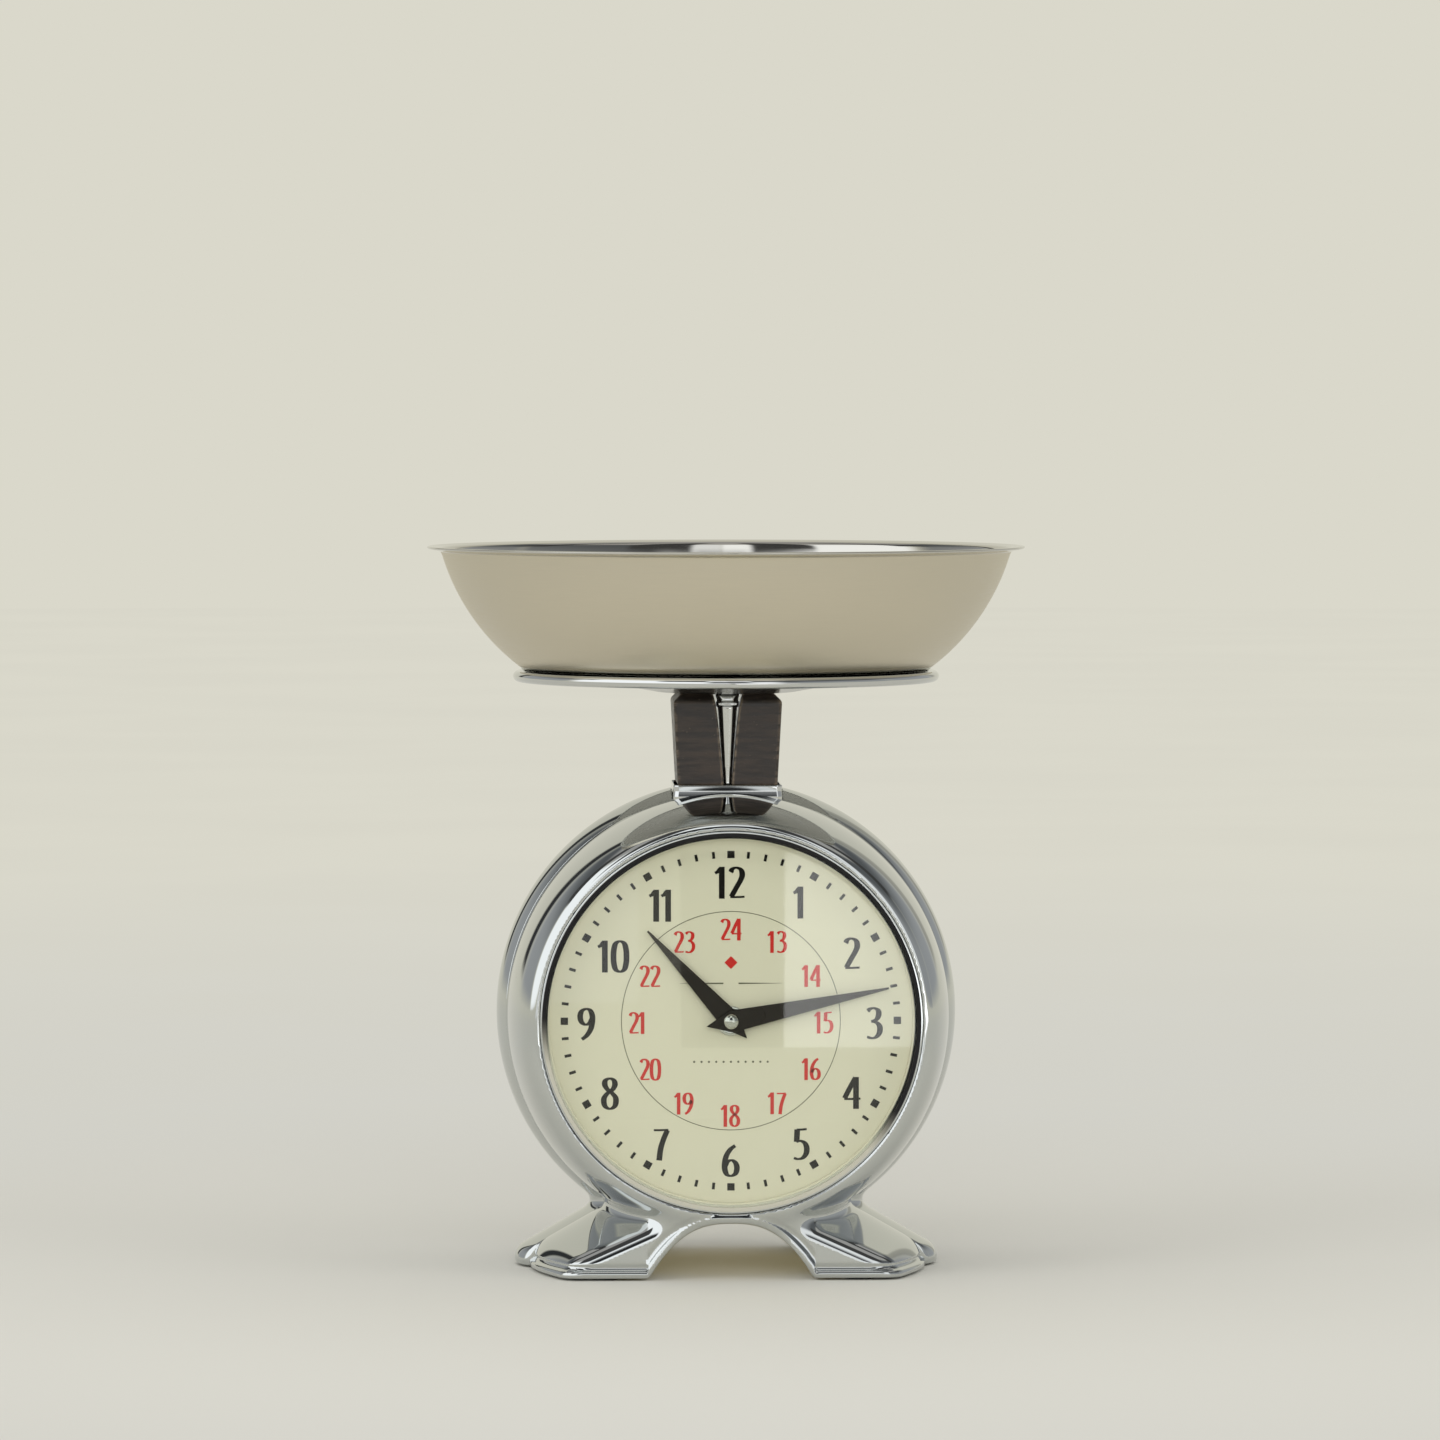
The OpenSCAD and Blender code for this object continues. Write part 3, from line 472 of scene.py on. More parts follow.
# ---------------------------------------------------------------- implicit solids
def smin(a, b, k):
    """Union of two fields with a fillet about k wide."""
    h = np.maximum(k - np.abs(a - b), 0) / k
    return np.minimum(a, b) - h * h * k / 4


def smax(a, b, k):
    """Intersection of two fields with a rounding about k wide."""
    return -smin(-a, -b, k)


def slopes(field, p, eps=0.02):
    """Gradient of a field at points, by central differences."""
    grad = np.empty_like(p)
    for axis in range(3):
        step = np.zeros(3)
        step[axis] = eps
        a, b = p + step, p - step
        grad[:, axis] = (field(a[:, 0], a[:, 1], a[:, 2]) - field(b[:, 0], b[:, 1], b[:, 2])) / (2 * eps)
    return grad


def settle(field, p, rounds, reach):
    """Moves points onto the zero surface of a field."""
    for _ in range(rounds):
        value = field(p[:, 0], p[:, 1], p[:, 2])
        grad = slopes(field, p)
        move = -(value / np.maximum(np.sum(grad * grad, axis=1), 0.05))[:, None] * grad
        length = np.linalg.norm(move, axis=1)[:, None]
        p = p + move * np.minimum(1, reach / np.maximum(length, 1e-9))
    return p


def solid_of(field, low, high, step):
    """Surface-net mesh of field < 0: points settled on the surface, faces and true normals."""
    axes = [np.arange(low[i] - step * 1.5, high[i] + step * 2.5, step) for i in range(3)]
    shape = tuple(len(a) for a in axes)
    values = np.empty(shape, np.float32)
    gy, gz = np.meshgrid(axes[1], axes[2], indexing="ij")
    for i, x in enumerate(axes[0]):
        values[i] = field(np.full_like(gy, x), gy, gz)
    inside = values < 0
    cells = tuple(s - 1 for s in shape)
    total = np.zeros(cells, np.int8)
    corners = [(i, j, k) for i in (0, 1) for j in (0, 1) for k in (0, 1)]
    for i, j, k in corners:
        total += inside[i:cells[0] + i, j:cells[1] + j, k:cells[2] + k]
    active = np.argwhere((total > 0) & (total < 8))
    number = np.full(cells, -1, np.int32)
    number[tuple(active.T)] = np.arange(len(active))
    points = np.zeros((len(active), 3))
    hits = np.zeros(len(active))
    for a in corners:
        for axis in range(3):
            if a[axis]:
                continue
            b = list(a)
            b[axis] = 1
            va = values[tuple((active + a).T)].astype(float)
            vb = values[tuple((active + b).T)].astype(float)
            cross = (va < 0) != (vb < 0)
            t = np.where(cross, va / np.where(va == vb, 1, va - vb), 0)
            place = np.array(a, float)[None, :] + np.eye(3)[axis][None, :] * t[:, None]
            points += place * cross[:, None]
            hits += cross
    points = points / hits[:, None] + active
    points = points * step + np.array([a[0] for a in axes])
    faces = []
    for axis in range(3):
        u, v = (axis + 1) % 3, (axis + 2) % 3
        lo = [slice(None)] * 3
        hi = [slice(None)] * 3
        lo[axis], hi[axis] = slice(0, -1), slice(1, None)
        start, end = inside[tuple(lo)], inside[tuple(hi)]
        edges = np.argwhere(start != end)
        far = (edges[:, u] < cells[u]) & (edges[:, v] < cells[v])
        edges = edges[(edges[:, u] > 0) & (edges[:, v] > 0) & far]
        flip = ~start[tuple(edges.T)]
        quad = []
        for du, dv in ((1, 1), (0, 1), (0, 0), (1, 0)):
            cell = edges.copy()
            cell[:, u] -= du
            cell[:, v] -= dv
            quad.append(number[tuple(cell.T)])
        quad = np.stack(quad, axis=1)
        quad[flip] = quad[flip][:, ::-1]
        faces.append(quad)
    faces = np.concatenate(faces)
    points = settle(field, points, 3, step * 0.5)
    pairs = np.concatenate([faces[:, [i, (i + 1) % 4]] for i in range(4)])
    degree = np.maximum(np.bincount(pairs[:, 0], minlength=len(points)), 1)
    for _ in range(3):
        mean = np.stack([np.bincount(pairs[:, 0], points[pairs[:, 1], c], len(points)) / degree
                         for c in range(3)], axis=1)
        normal = slopes(field, points)
        normal /= np.linalg.norm(normal, axis=1)[:, None] + 1e-9
        drift = (mean - points) * 0.5
        drift -= normal * np.sum(drift * normal, axis=1)[:, None]
        points = settle(field, points + drift, 1, step * 0.4)
    points = settle(field, points, 2, step * 0.3)
    normal = slopes(field, points)
    normal /= np.linalg.norm(normal, axis=1)[:, None] + 1e-9
    return points, faces, normal


def field_piece(name, field, low, high, step, mat, body, slot, replaces=()):
    """A piece meshed from a field inside a box."""
    points, faces, normal = solid_of(field, low, high, step * (1.0))
    return make_piece(name, points, faces, mat, body, slot, replaces, normals=normal)


# ---------------------------------------------------------------- housing and base
EDGE_FRONT, EDGE_SIDE = 65.6, 78.0
RISE_FRONT, RISE_SIDE = 0.43, 0.57
FOOT_FRONT, FOOT_SIDE = 5.4, 8.4
BEAD_TOP, GROOVE_TOP = 3.1, 5.2
BEAD_PROUD, PANEL_PROUD = 1.3, 0.5


def arch_edge(x):
    """Height of the arch over x, and how steeply that edge lengthens a vertical distance."""
    ax = np.abs(x)
    height = ARCH_Z * (1 - (ax / ARCH_X) ** ARCH_POWER)
    slope = ARCH_POWER * ARCH_Z / ARCH_X * (ax / ARCH_X) ** (ARCH_POWER - 1)
    return height, np.sqrt(1 + slope * slope)


def drum_shell(x, q, z):
    """Outside of a shell: a quarter ellipse from the ridge to the lip, then a flat front."""
    rho = np.hypot(x, z - AXIS_Z)
    a, b = RIDGE_R - LIP_R, SHELL_Y - BAND_Y
    u, v = (rho - LIP_R) / a, (q - BAND_Y) / b
    reach = np.hypot(u, v) + 1e-9
    bell = (reach - 1) / (np.hypot(u / a, v / b) / reach + 1e-9)
    return np.where(rho < LIP_R, q - SHELL_Y, np.where(q < BAND_Y, rho - RIDGE_R, bell)), rho


def base_block(x, q, z):
    """Splayed base of one shell: sloping flanks, round hips and a beaded front."""
    ax = np.abs(x)
    s = np.sin(np.pi / 2 * np.clip((BASE_Y - q) / (BASE_Y - BAND_Y), 0, 1))
    edge = EDGE_FRONT + (EDGE_SIDE - EDGE_FRONT) * s
    rise = RISE_FRONT + (RISE_SIDE - RISE_FRONT) * s
    foot = FOOT_FRONT + (FOOT_SIDE - FOOT_FRONT) * s
    top = (z - foot - rise * (edge - ax)) / np.sqrt(1 + rise * rise)
    side = (ax - edge) - 0.08 * (z - PAD_GAP)
    height, steep = arch_edge(x)
    over_arch = np.where(ax < ARCH_X, (z - height) / steep, np.hypot(ax - ARCH_X, np.maximum(z, 0)))
    from_edge = np.minimum(over_arch, z - PAD_GAP)
    bead = 1 / (1 + np.exp((from_edge - BEAD_TOP) / 0.2))
    panel = 1 / (1 + np.exp(-(from_edge - GROOVE_TOP) / 0.2))
    front = q - (BASE_Y - 1.0 - 0.04 * z)
    block = smax(top, side, 9.0)
    block = smax(block, front, 5.0)
    block = block - BEAD_PROUD * bead - PANEL_PROUD * panel
    block = smax(block, z - SHOULDER_Z, 3.0)
    return smax(block, PAD_GAP - z, 1.8)


def along_across(x, z, ux, uz):
    """Distances along and across a ray from the drum's axis with direction (ux, uz)."""
    return x * ux + (z - AXIS_Z) * uz, -x * uz + (z - AXIS_Z) * ux


def add_bosses(solid, x, z, skin, end):
    """Solid with a ribbed, bored boss for each case screw, kept under the outer skin."""
    for angle in SCREW_ANGLES:
        along, across = along_across(x, z, math.cos(math.radians(angle)), math.sin(math.radians(angle)))
        bore = np.hypot(along - SCREW_R, across)
        boss = np.maximum(bore - BOSS_R, end)
        rib = np.maximum(np.maximum(np.abs(across) - RIB_HALF, SCREW_R - along), end)
        solid = smin(solid, np.maximum(smin(boss, rib, 2.0), skin + UNDER_SKIN), 1.5)
        solid = np.maximum(solid, BOSS_HOLE_R - bore)
    return solid


def cut_base(solid, x, y, z, depth, outer_x, half, top, fall):
    """Solid less the arch, a moulding pocket whose roof falls outward, and the collar's shaft."""
    ax = np.abs(x)
    height, steep = arch_edge(x)
    solid = smax(solid, (height - z) / steep, 1.4)
    pocket = np.maximum(np.maximum(POCKET_X - ax, ax - outer_x),
                        np.maximum(np.abs(depth) - half, z - top + fall * (ax - POCKET_X)))
    solid = smax(solid, -pocket, 0.8)
    shaft = np.maximum(np.maximum(ax, np.abs(y)) - COLLAR_HALF - 0.05, collar_low[2] - z)
    return smax(solid, -shaft, 0.6)


def shell_field(rear):
    """Whole shell: drum and base outside, hollow, opening, arch, bosses and pockets inside."""
    def field(x, y, z):
        q = y if rear else -y
        drum, rho = drum_shell(x, q, z)
        solid = smin(drum, base_block(x, q, z), 7.0)
        back = DIAL_BACK - LEDGE_T
        hollow = smax(smax(drum + WALL, FLOOR_Z - z, 1.0), q - back, 1.0)
        opening = np.maximum(rho - OPEN_R, DIAL_BACK - q)
        throat = np.maximum(rho - LEDGE_R, back - 1 - q)
        solid = smax(solid, -smin(hollow, smin(opening, throat, 0.2), 0.4), 0.7)
        solid = add_bosses(solid, x, z, drum, q - SCREW_END)
        solid = cut_base(solid, x, y, z, q - 32, 57, 12, 10.5, 0.42)
        pad = np.maximum(np.hypot(np.abs(x) - PAD_X, q - PAD_Y) - PAD_R, z - PAD_TOP)
        solid = smax(solid, -pad, 0.3)
        if rear:
            hole = np.hypot(x, q - KNOB_Y)
            solid = smax(solid, -np.maximum(hole - 11, 190 - z), 0.5)
            solid = smax(solid, -np.maximum(hole - 2.2, 150 - z), 0.3)
        return smax(solid, BAND_Y + 0.1 - q, 0.7)
    return field


LOBE_X = 85.0


def band_field(x, y, z):
    """Crowned band with its ribs and lobes, hollow, arch, lugs and pockets."""
    ax = np.abs(x)
    crown = np.clip(1 - (y / BAND_Y) ** 2, 0, 1)
    rho = np.hypot(x, z - AXIS_Z)
    drum = rho - (RIDGE_R + (CROWN_R - RIDGE_R) * crown)
    top = (z - FOOT_SIDE - RISE_SIDE * (EDGE_SIDE - ax) - 2.3 * crown) / math.hypot(1, RISE_SIDE)
    edge = EDGE_SIDE + 0.2 + (LOBE_X - 0.4 - EDGE_SIDE) * np.sqrt(crown + 1e-6)
    rib = smax(smax(top, ax - edge, 4.0), z - SHOULDER_Z, 3.0)
    rib = smax(rib, PAD_GAP - z, 1.6)
    solid = smin(drum, rib, 7.0)
    hollow = smax(rho - (RIDGE_R - WALL), FLOOR_Z - z, 1.0)
    solid = smax(solid, -hollow, 0.7)
    solid = add_bosses(solid, x, z, rho - RIDGE_R, -np.inf)
    length = math.hypot(*PILLAR)
    for sx in (-1, 1):
        for sz in (-1, 1):
            along, across = along_across(x, z, sx * PILLAR[0] / length, sz * PILLAR[1] / length)
            lug = np.maximum(np.maximum(np.abs(across) - LUG_HALF, LUG_REACH - along),
                             np.maximum(np.abs(y) - LUG_DEPTH, rho - RIDGE_R + UNDER_SKIN))
            solid = np.maximum(smin(solid, lug, 1.5), PILLAR_HOLE_R - np.hypot(along - length, across))
    solid = cut_base(solid, x, y, z, y, 72, 11, 14, 0.25)
    return smax(solid, np.abs(y) - BAND_Y, 0.7)


HOUSING_STEP = 0.85
SHELL_X, SHELL_TOP = 89, 192
BAND_X, BAND_TOP = 93, 195


def build_housing():
    """Front and rear shells and the band between them."""
    for place, y0, y1 in (("front", -SHELL_Y, -BAND_Y), ("rear", BAND_Y, SHELL_Y)):
        field_piece(place + "_shell_skin", shell_field(place == "rear"), [-SHELL_X, y0, 0],
                    [SHELL_X, y1, SHELL_TOP], HOUSING_STEP, MAT["chrome"], "housing", "chrome_shell",
                    [place + "_shell"])
    field_piece("centre_band_skin", band_field, [-BAND_X, -BAND_Y, 0], [BAND_X, BAND_Y, BAND_TOP],
                HOUSING_STEP, MAT["chrome"], "housing", "chrome_band", ["centre_band"])


build_housing()


# ---------------------------------------------------------------- bowl, plate, neck, collar
def build_bowl():
    """Spun bowl: satin outside wall, polished corner, floor, inside and out-turned rim."""
    seat, top, thick = bowl_low[2], bowl_high[2], 0.8
    foot_r, start_r, rim_r = 79.7, 82.8, bowl_high[0] - 0.1
    radius, first_angle, last_angle, steps = 88.0, 37.5, 73.0, 40

    def wall_point(angle, inward):
        """Point of the curved wall, by the angle of its normal, some way in from the outside."""
        a, b = math.radians(angle), math.radians(first_angle)
        return (start_r + radius * (math.sin(a) - math.sin(b)) - inward * math.sin(a),
                seat + 3.5 + radius * (math.cos(b) - math.cos(a)) + inward * math.cos(a))

    angles = [first_angle + (last_angle - first_angle) * i / steps for i in range(steps + 1)]
    outer_foot = rounded([(0, seat, 0), (foot_r, seat, 3.0), (*wall_point(first_angle, 0), 0)],
                         closed=False, steps=8)
    outer_rim = rounded([(*wall_point(last_angle, 0), 0), (114.2, top - 2.0, 2.4),
                         (rim_r - 0.5, top - 1.0, 0.4), (rim_r, top - 0.3, 0.3), (rim_r - 0.9, top, 0.5),
                         (113.6, top - 0.9, 2.6), (*wall_point(last_angle, thick), 0)], closed=False, steps=8)
    inner_foot = rounded([(*wall_point(first_angle, thick), 0), (foot_r - 0.4, seat + thick, 3.0),
                          (0, seat + thick, 0)], closed=False, steps=8)
    outside = [wall_point(a, 0) for a in angles[1:]]
    inside = [wall_point(a, thick) for a in reversed(angles[:-1])]
    profile = np.array([*outer_foot, *outside, *outer_rim[1:], *inside, *inner_foot[1:]])
    first_satin = len(outer_foot) - 1
    last_satin = first_satin + len(outside) + 5
    lathe("bowl_spun", profile, [MAT["polish"], MAT["bowl"]], "bowl", "bowl_steel", replaces=["bowl"],
          segments=256, pick=lambda i, p: 1 if first_satin <= i < last_satin else 0, sharp=50)


def build_plate():
    """Dished plate with a rolled bead and a sunk centre."""
    seat, low = bowl_low[2], plate_low[2]
    thick, bead = 1.0, 2.15
    bead_r, bead_z = plate_high[0] + 0.05 - bead, seat - 0.5
    flat_r = bead_r - bead + 0.3
    under = [(0, low, 0), (27, low, 10), (60, seat - thick, 12), (flat_r, seat - thick, 0)]
    over = [(flat_r, seat, 0), (59.5, seat, 12), (26.7, low + thick, 10), (0, low + thick, 0)]
    roll = [(bead_r + bead * math.cos(a), bead_z + bead * math.sin(a))
            for a in np.radians(np.linspace(192, 527, 34))]
    profile = np.array([*rounded(under, closed=False), *roll, *rounded(over, closed=False)])
    lathe("platform_plate_rolled", profile, [MAT["trim"], MAT["plate"]], "platform", "plate_steel",
          replaces=["platform_plate"], segments=256, pick=lambda i, p: 0 if p[0] > bead_r - bead - 0.2 else 1)


NECK_Z0, NECK_Z1 = cheek_low[2], cheek_high[2]
BEVEL = 3.2
WIDTH_LOW, WIDTH_HIGH = 39.8, 43.4
DEPTH_LOW, DEPTH_HIGH = 39.6, 42.4
CORE_X, CORE_Y = 13.0, 16.0


def neck_field(x, y, z):
    """Tapered, bevelled neck block with soft corners."""
    t = (z - NECK_Z0) / (NECK_Z1 - BEVEL - NECK_Z0)
    half_w = (WIDTH_LOW + (WIDTH_HIGH - WIDTH_LOW) * t) / 2
    half_d = (DEPTH_LOW + (DEPTH_HIGH - DEPTH_LOW) * t) / 2
    ax, ay = np.abs(x), np.abs(y)
    block = smax(ax - half_w, ay - half_d, 1.6)
    for across in (ax - WIDTH_HIGH / 2, ay - DEPTH_HIGH / 2):
        block = smax(block, (across + (z - NECK_Z1 + BEVEL)) / math.sqrt(2), 0.8)
    block = smax(block, z - NECK_Z1, 0.8)
    return smax(block, NECK_Z0 - z, 1.2)


def cheek_field(x, y, z):
    """Half of the neck round the core, with a curved V edge."""
    t = np.clip((z - NECK_Z0) / (NECK_Z1 - NECK_Z0), 0, 1)
    gap = 1.5 + 3.3 * t + 1.1 * t ** 8
    core = np.maximum(np.abs(x) - CORE_X, np.abs(y) - CORE_Y)
    block = smax(neck_field(x, y, z), gap - x, 0.9)
    return smax(block, -core, 0.3)


def core_field(x, y, z):
    """Core between the cheeks: body, tapered ridge and cross-band on both faces, shank below, screw holes."""
    ax, ay = np.abs(x), np.abs(y)
    body = smax(np.maximum(ax - CORE_X + 0.05, ay - CORE_Y + 0.05), np.maximum(z - NECK_Z1, NECK_Z0 - z), 0.6)
    t = np.clip((z - NECK_Z0) / (NECK_Z1 - 4 - NECK_Z0), 0, 1)
    half = 0.9 + 2.5 * t + 1.0 * np.clip((z - NECK_Z1 + 3.5) / 3.0, 0, 1)
    ridge = smax((ax + 0.9 * (ay - 19.1) - half * 0.55) / 1.35, ay - 19.1, 0.8)
    ridge = smax(ridge, np.maximum(ax - half, ay - 19.2), 0.6)
    band = smax(smax(ax - 4.0, ay - 19.5, 0.8), np.abs(z - NECK_Z1 + 4.2) - 0.8, 0.8)
    spine = smin(ridge, band, 0.8)
    spine = smax(spine, np.maximum(NECK_Z0 - z, neck_field(x, y, z) + 0.4), 0.5)
    shank = smax(np.maximum(ax, ay) - 12, np.maximum(z - NECK_Z0 - 1, 168 - z), 0.8)
    solid = smin(smin(body, spine, 0.6), shank, 0.5)
    for s in (-1, 1):
        solid = np.maximum(solid, -np.maximum(np.hypot(x, y - 8 * s) - 1.55, z - 181))
        solid = np.maximum(solid, -np.maximum(np.hypot(x - 8 * s, y) - 1.55, NECK_Z1 - 12 - z))
    return solid


def build_neck():
    """Two moulded cheeks, one the mirror of the other, and the bright core between them."""
    for side, sign in (("right", 1), ("left", -1)):
        cheek = side + "_cheek"
        field_piece(cheek + "_moulding", lambda x, y, z: cheek_field(sign * x, y, z), *box_mm(cheek), 0.45,
                    MAT["cheek"], "platform", "cheek_bakelite", [cheek])
    field_piece("neck_core_spine", core_field, *box_mm("neck_core"), 0.5, MAT["trim"], "platform",
                "chrome_trim", ["neck_core"])


def build_collar():
    """Pressed square sleeve with a rounded, slightly waisted lip."""
    half, low, top = COLLAR_HALF, collar_low[2], collar_high[2]
    inner, corner = half - 0.6, 2.2
    profile = rounded([(inner, low, 0), (half, low, 0), (half, top - 4.6, 1.0), (half - 0.25, top - 2.4, 1.5),
                       (half, top - 0.6, 0.4), (half - 0.1, top, 0.25), (inner, top, 0.25)], steps=4)
    verts = []
    for r, z in profile:
        ring = rounded([(r, r, corner), (-r, r, corner), (-r, -r, corner), (r, -r, corner)], steps=8)
        verts.extend((x, y, z) for x, y in ring)
    obj = make_piece("collar_sleeve", verts, ring_faces(len(profile), len(ring)), MAT["trim"], "housing",
                     "chrome_trim", ["collar"])
    obj.data.set_sharp_from_angle(angle=math.radians(35))


build_bowl()
build_plate()
build_neck()
build_collar()


# ---------------------------------------------------------------- glass, gaskets, dial rings, dials
def build_face(side, label):
    """Gasket, glass and spacer ring of one face; side is -1 at the front."""
    front, back = SHELL_Y - 0.2, SHELL_Y - 5.0
    glass_front, glass_back = SHELL_Y - 1.0, SHELL_Y - 3.0
    seat_r, rim_r, seam_r = OPEN_R - 0.05, GLASS_R - 0.05, OPEN_R - 0.8
    lip_r, ring_r = 72.3, 71.7

    def turned(part, outline, steps, mat, slot, node, pick=None):
        """A ring or disc from its (radius, distance from the middle plane) outline."""
        profile = np.array([(r, side * h) for r, h in rounded(outline, steps=steps)])
        lathe(label + part, profile, mat, "housing", slot, "y", (0, 0, AXIS_Z), [label + node], 256,
              pick=pick)

    def tone_of(i, point):
        """Number of the gasket's material: bead inside the glass, chrome at the seam, lip between."""
        if point[0] < GLASS_R - 0.01:
            return 1
        return 2 if point[0] > seam_r - 0.01 else 0

    gasket = [(seat_r, back, 0), (seat_r, front, 0.7), (seam_r, front, 0), (GLASS_R, front, 0.6),
              (GLASS_R, glass_back, 0), (lip_r, glass_back, 0.3), (lip_r, back, 0)]
    turned("_gasket_ring", gasket, 6, [MAT["bead"], MAT["lip"], MAT["chrome"]], "gasket_rubber", "_gasket",
           tone_of)
    glass = [(0, glass_front, 0), (GLASS_R - 2.4, glass_front, 0), (GLASS_R - 1.3, glass_front, 0.4),
             (rim_r, glass_front - 0.7, 0.2), (rim_r, glass_back, 0), (0, glass_back, 0)]
    turned("_glass_disc", glass, 4, MAT["glass"], "dial_glass", "_glass")
    spacer = [(ring_r, back - 0.05, 0.5), (seat_r, back - 0.05, 0), (seat_r, DIAL_Y + 0.02, 0),
              (ring_r, DIAL_Y + 0.02, 0.4)]
    turned("_ring_spacer", spacer, 5, MAT["cream"], "dial_cream", "_dial_ring")


build_face(-1, "front")
build_face(1, "rear")


# ---------------------------------------------------------------- figures and dial printing
THICK, THIN = 0.165, 0.062

FIGURES = {
    "0": [[(0.25, 0.975), (0.12, 0.90), (0.065, 0.70), (0.055, 0.50), (0.065, 0.30), (0.12, 0.10),
           (0.25, 0.025), (0.38, 0.10), (0.435, 0.30), (0.445, 0.50), (0.435, 0.70), (0.38, 0.90),
           (0.25, 0.975)]],
    "1": [[(0.03, 0.80), (0.12, 0.85), (0.19, 0.93)], [(0.235, 1.0), (0.235, 0.0)]],
    "2": [[(0.06, 0.83), (0.12, 0.93), (0.24, 0.97), (0.37, 0.90), (0.41, 0.75), (0.36, 0.58), (0.24, 0.36),
           (0.08, 0.06)], [(0.05, 0.05), (0.25, 0.05), (0.48, 0.06)]],
    "3": [[(0.07, 0.88), (0.15, 0.95), (0.26, 0.97), (0.38, 0.90), (0.40, 0.76), (0.33, 0.62), (0.18, 0.55)],
          [(0.18, 0.55), (0.33, 0.52), (0.43, 0.40), (0.43, 0.22), (0.34, 0.08), (0.21, 0.03), (0.05, 0.07)]],
    "4": [[(0.36, 0.98), (0.19, 0.66), (0.03, 0.33)], [(0.02, 0.31), (0.26, 0.31), (0.51, 0.32)],
          [(0.375, 1.0), (0.375, 0.0)]],
    "5": [[(0.13, 0.955), (0.27, 0.955), (0.43, 0.97)], [(0.145, 0.96), (0.135, 0.76), (0.125, 0.57)],
          [(0.12, 0.575), (0.24, 0.60), (0.37, 0.53), (0.43, 0.38), (0.41, 0.20), (0.31, 0.07), (0.18, 0.03),
           (0.04, 0.06)]],
    "6": [[(0.38, 0.98), (0.24, 0.87), (0.12, 0.68), (0.065, 0.45), (0.065, 0.24), (0.13, 0.08), (0.25, 0.03),
           (0.38, 0.10), (0.43, 0.26), (0.39, 0.43), (0.27, 0.52), (0.15, 0.47), (0.08, 0.36)]],
    "7": [[(0.03, 0.95), (0.24, 0.95), (0.47, 0.96)],
          [(0.44, 0.95), (0.33, 0.68), (0.24, 0.38), (0.19, 0.0)]],
    "8": [[(0.25, 0.975), (0.12, 0.91), (0.10, 0.77), (0.19, 0.62), (0.33, 0.50), (0.43, 0.34), (0.40, 0.12),
           (0.25, 0.025), (0.10, 0.12), (0.07, 0.34), (0.17, 0.50), (0.32, 0.62), (0.40, 0.77), (0.37, 0.91),
           (0.25, 0.975)]],
}
FIGURES["9"] = [[(0.495 - x, 1 - y) for x, y in stroke] for stroke in FIGURES["6"]]
ADVANCE = {"1": 0.36, "7": 0.50}
USUAL_ADVANCE = 0.52
RAISED = 0.05


def spline(points, steps=7):
    """Catmull-Rom curve through points; a closed one joins its ends smoothly."""
    pts = np.array(points, float)
    ring = np.allclose(pts[0], pts[-1])
    before = pts[-2] if ring else 2 * pts[0] - pts[1]
    after = pts[1] if ring else 2 * pts[-1] - pts[-2]
    full = np.array([before, *pts, after])
    out = []
    for i in range(1, len(full) - 2):
        p0, p1, p2, p3 = full[i - 1:i + 3]
        for k in range(steps):
            t = k / steps
            out.append(0.5 * (2 * p1 + (p2 - p0) * t + (2 * p0 - 5 * p1 + 4 * p2 - p3) * t * t
                              + (3 * p1 - p0 - 3 * p2 + p3) * t ** 3))
    out.append(full[-2])
    return np.array(out)


def ribbon(path, weight):
    """Edges of a broad-nib stroke: thick where it runs upright, thin where it runs level."""
    tangent = np.gradient(path, axis=0)
    if np.allclose(path[0], path[-1]):
        tangent[0] = tangent[-1] = path[1] - path[-2]
    tangent /= np.linalg.norm(tangent, axis=1)[:, None] + 1e-9
    width = weight * (THIN + (THICK - THIN) * np.abs(tangent[:, 1]) ** 1.6)
    side = np.stack([-tangent[:, 1], tangent[:, 0]], axis=1) * width[:, None] / 2
    return path + side, path - side


def figure(text, x, z, height, side, y, weight=1.0, spread=1.0):
    """Raised figures centred on (x, z) of a face; side is -1 at the front."""
    widths = [ADVANCE.get(c, USUAL_ADVANCE) for c in text]
    pen = -sum(widths) / 2
    parts = []
    for layer, (c, w) in enumerate(zip(text, widths)):
        for k, stroke in enumerate(FIGURES[c]):
            edges = ribbon(spline(stroke), weight)
            lift = RAISED + 0.004 * (k + layer)
            rows = []
            for depth in (0.0, lift):
                for edge in edges:
                    px = (edge[:, 0] + pen + (w - 0.5) / 2) * height * spread
                    pz = (edge[:, 1] - 0.5) * height
                    rows.append(np.stack([x - side * px, np.full(len(px), y + side * depth), z + pz], axis=1))
            faces = strip_faces(len(edges[0]))
            parts.append((np.concatenate(rows).tolist(), faces if side < 0 else [f[::-1] for f in faces]))
        pen += w
    return parts


def dial_point(side, angle, radius):
    """Point (x, z) of a face, clockwise from twelve as seen from its own side; angle in radians."""
    return -side * radius * math.sin(angle), AXIS_Z + radius * math.cos(angle)


def tick(angle, r0, r1, width, side, y):
    """A raised bar between two radii, at an angle in degrees."""
    a = math.radians(angle)
    out = np.array([math.sin(a), math.cos(a)])
    across = np.array([out[1], -out[0]]) * width / 2
    corners = [out * r0 - across, out * r1 - across, out * r1 + across, out * r0 + across]
    return prism_y([(-side * c[0], AXIS_Z + c[1]) for c in corners], y + side * RAISED, y)


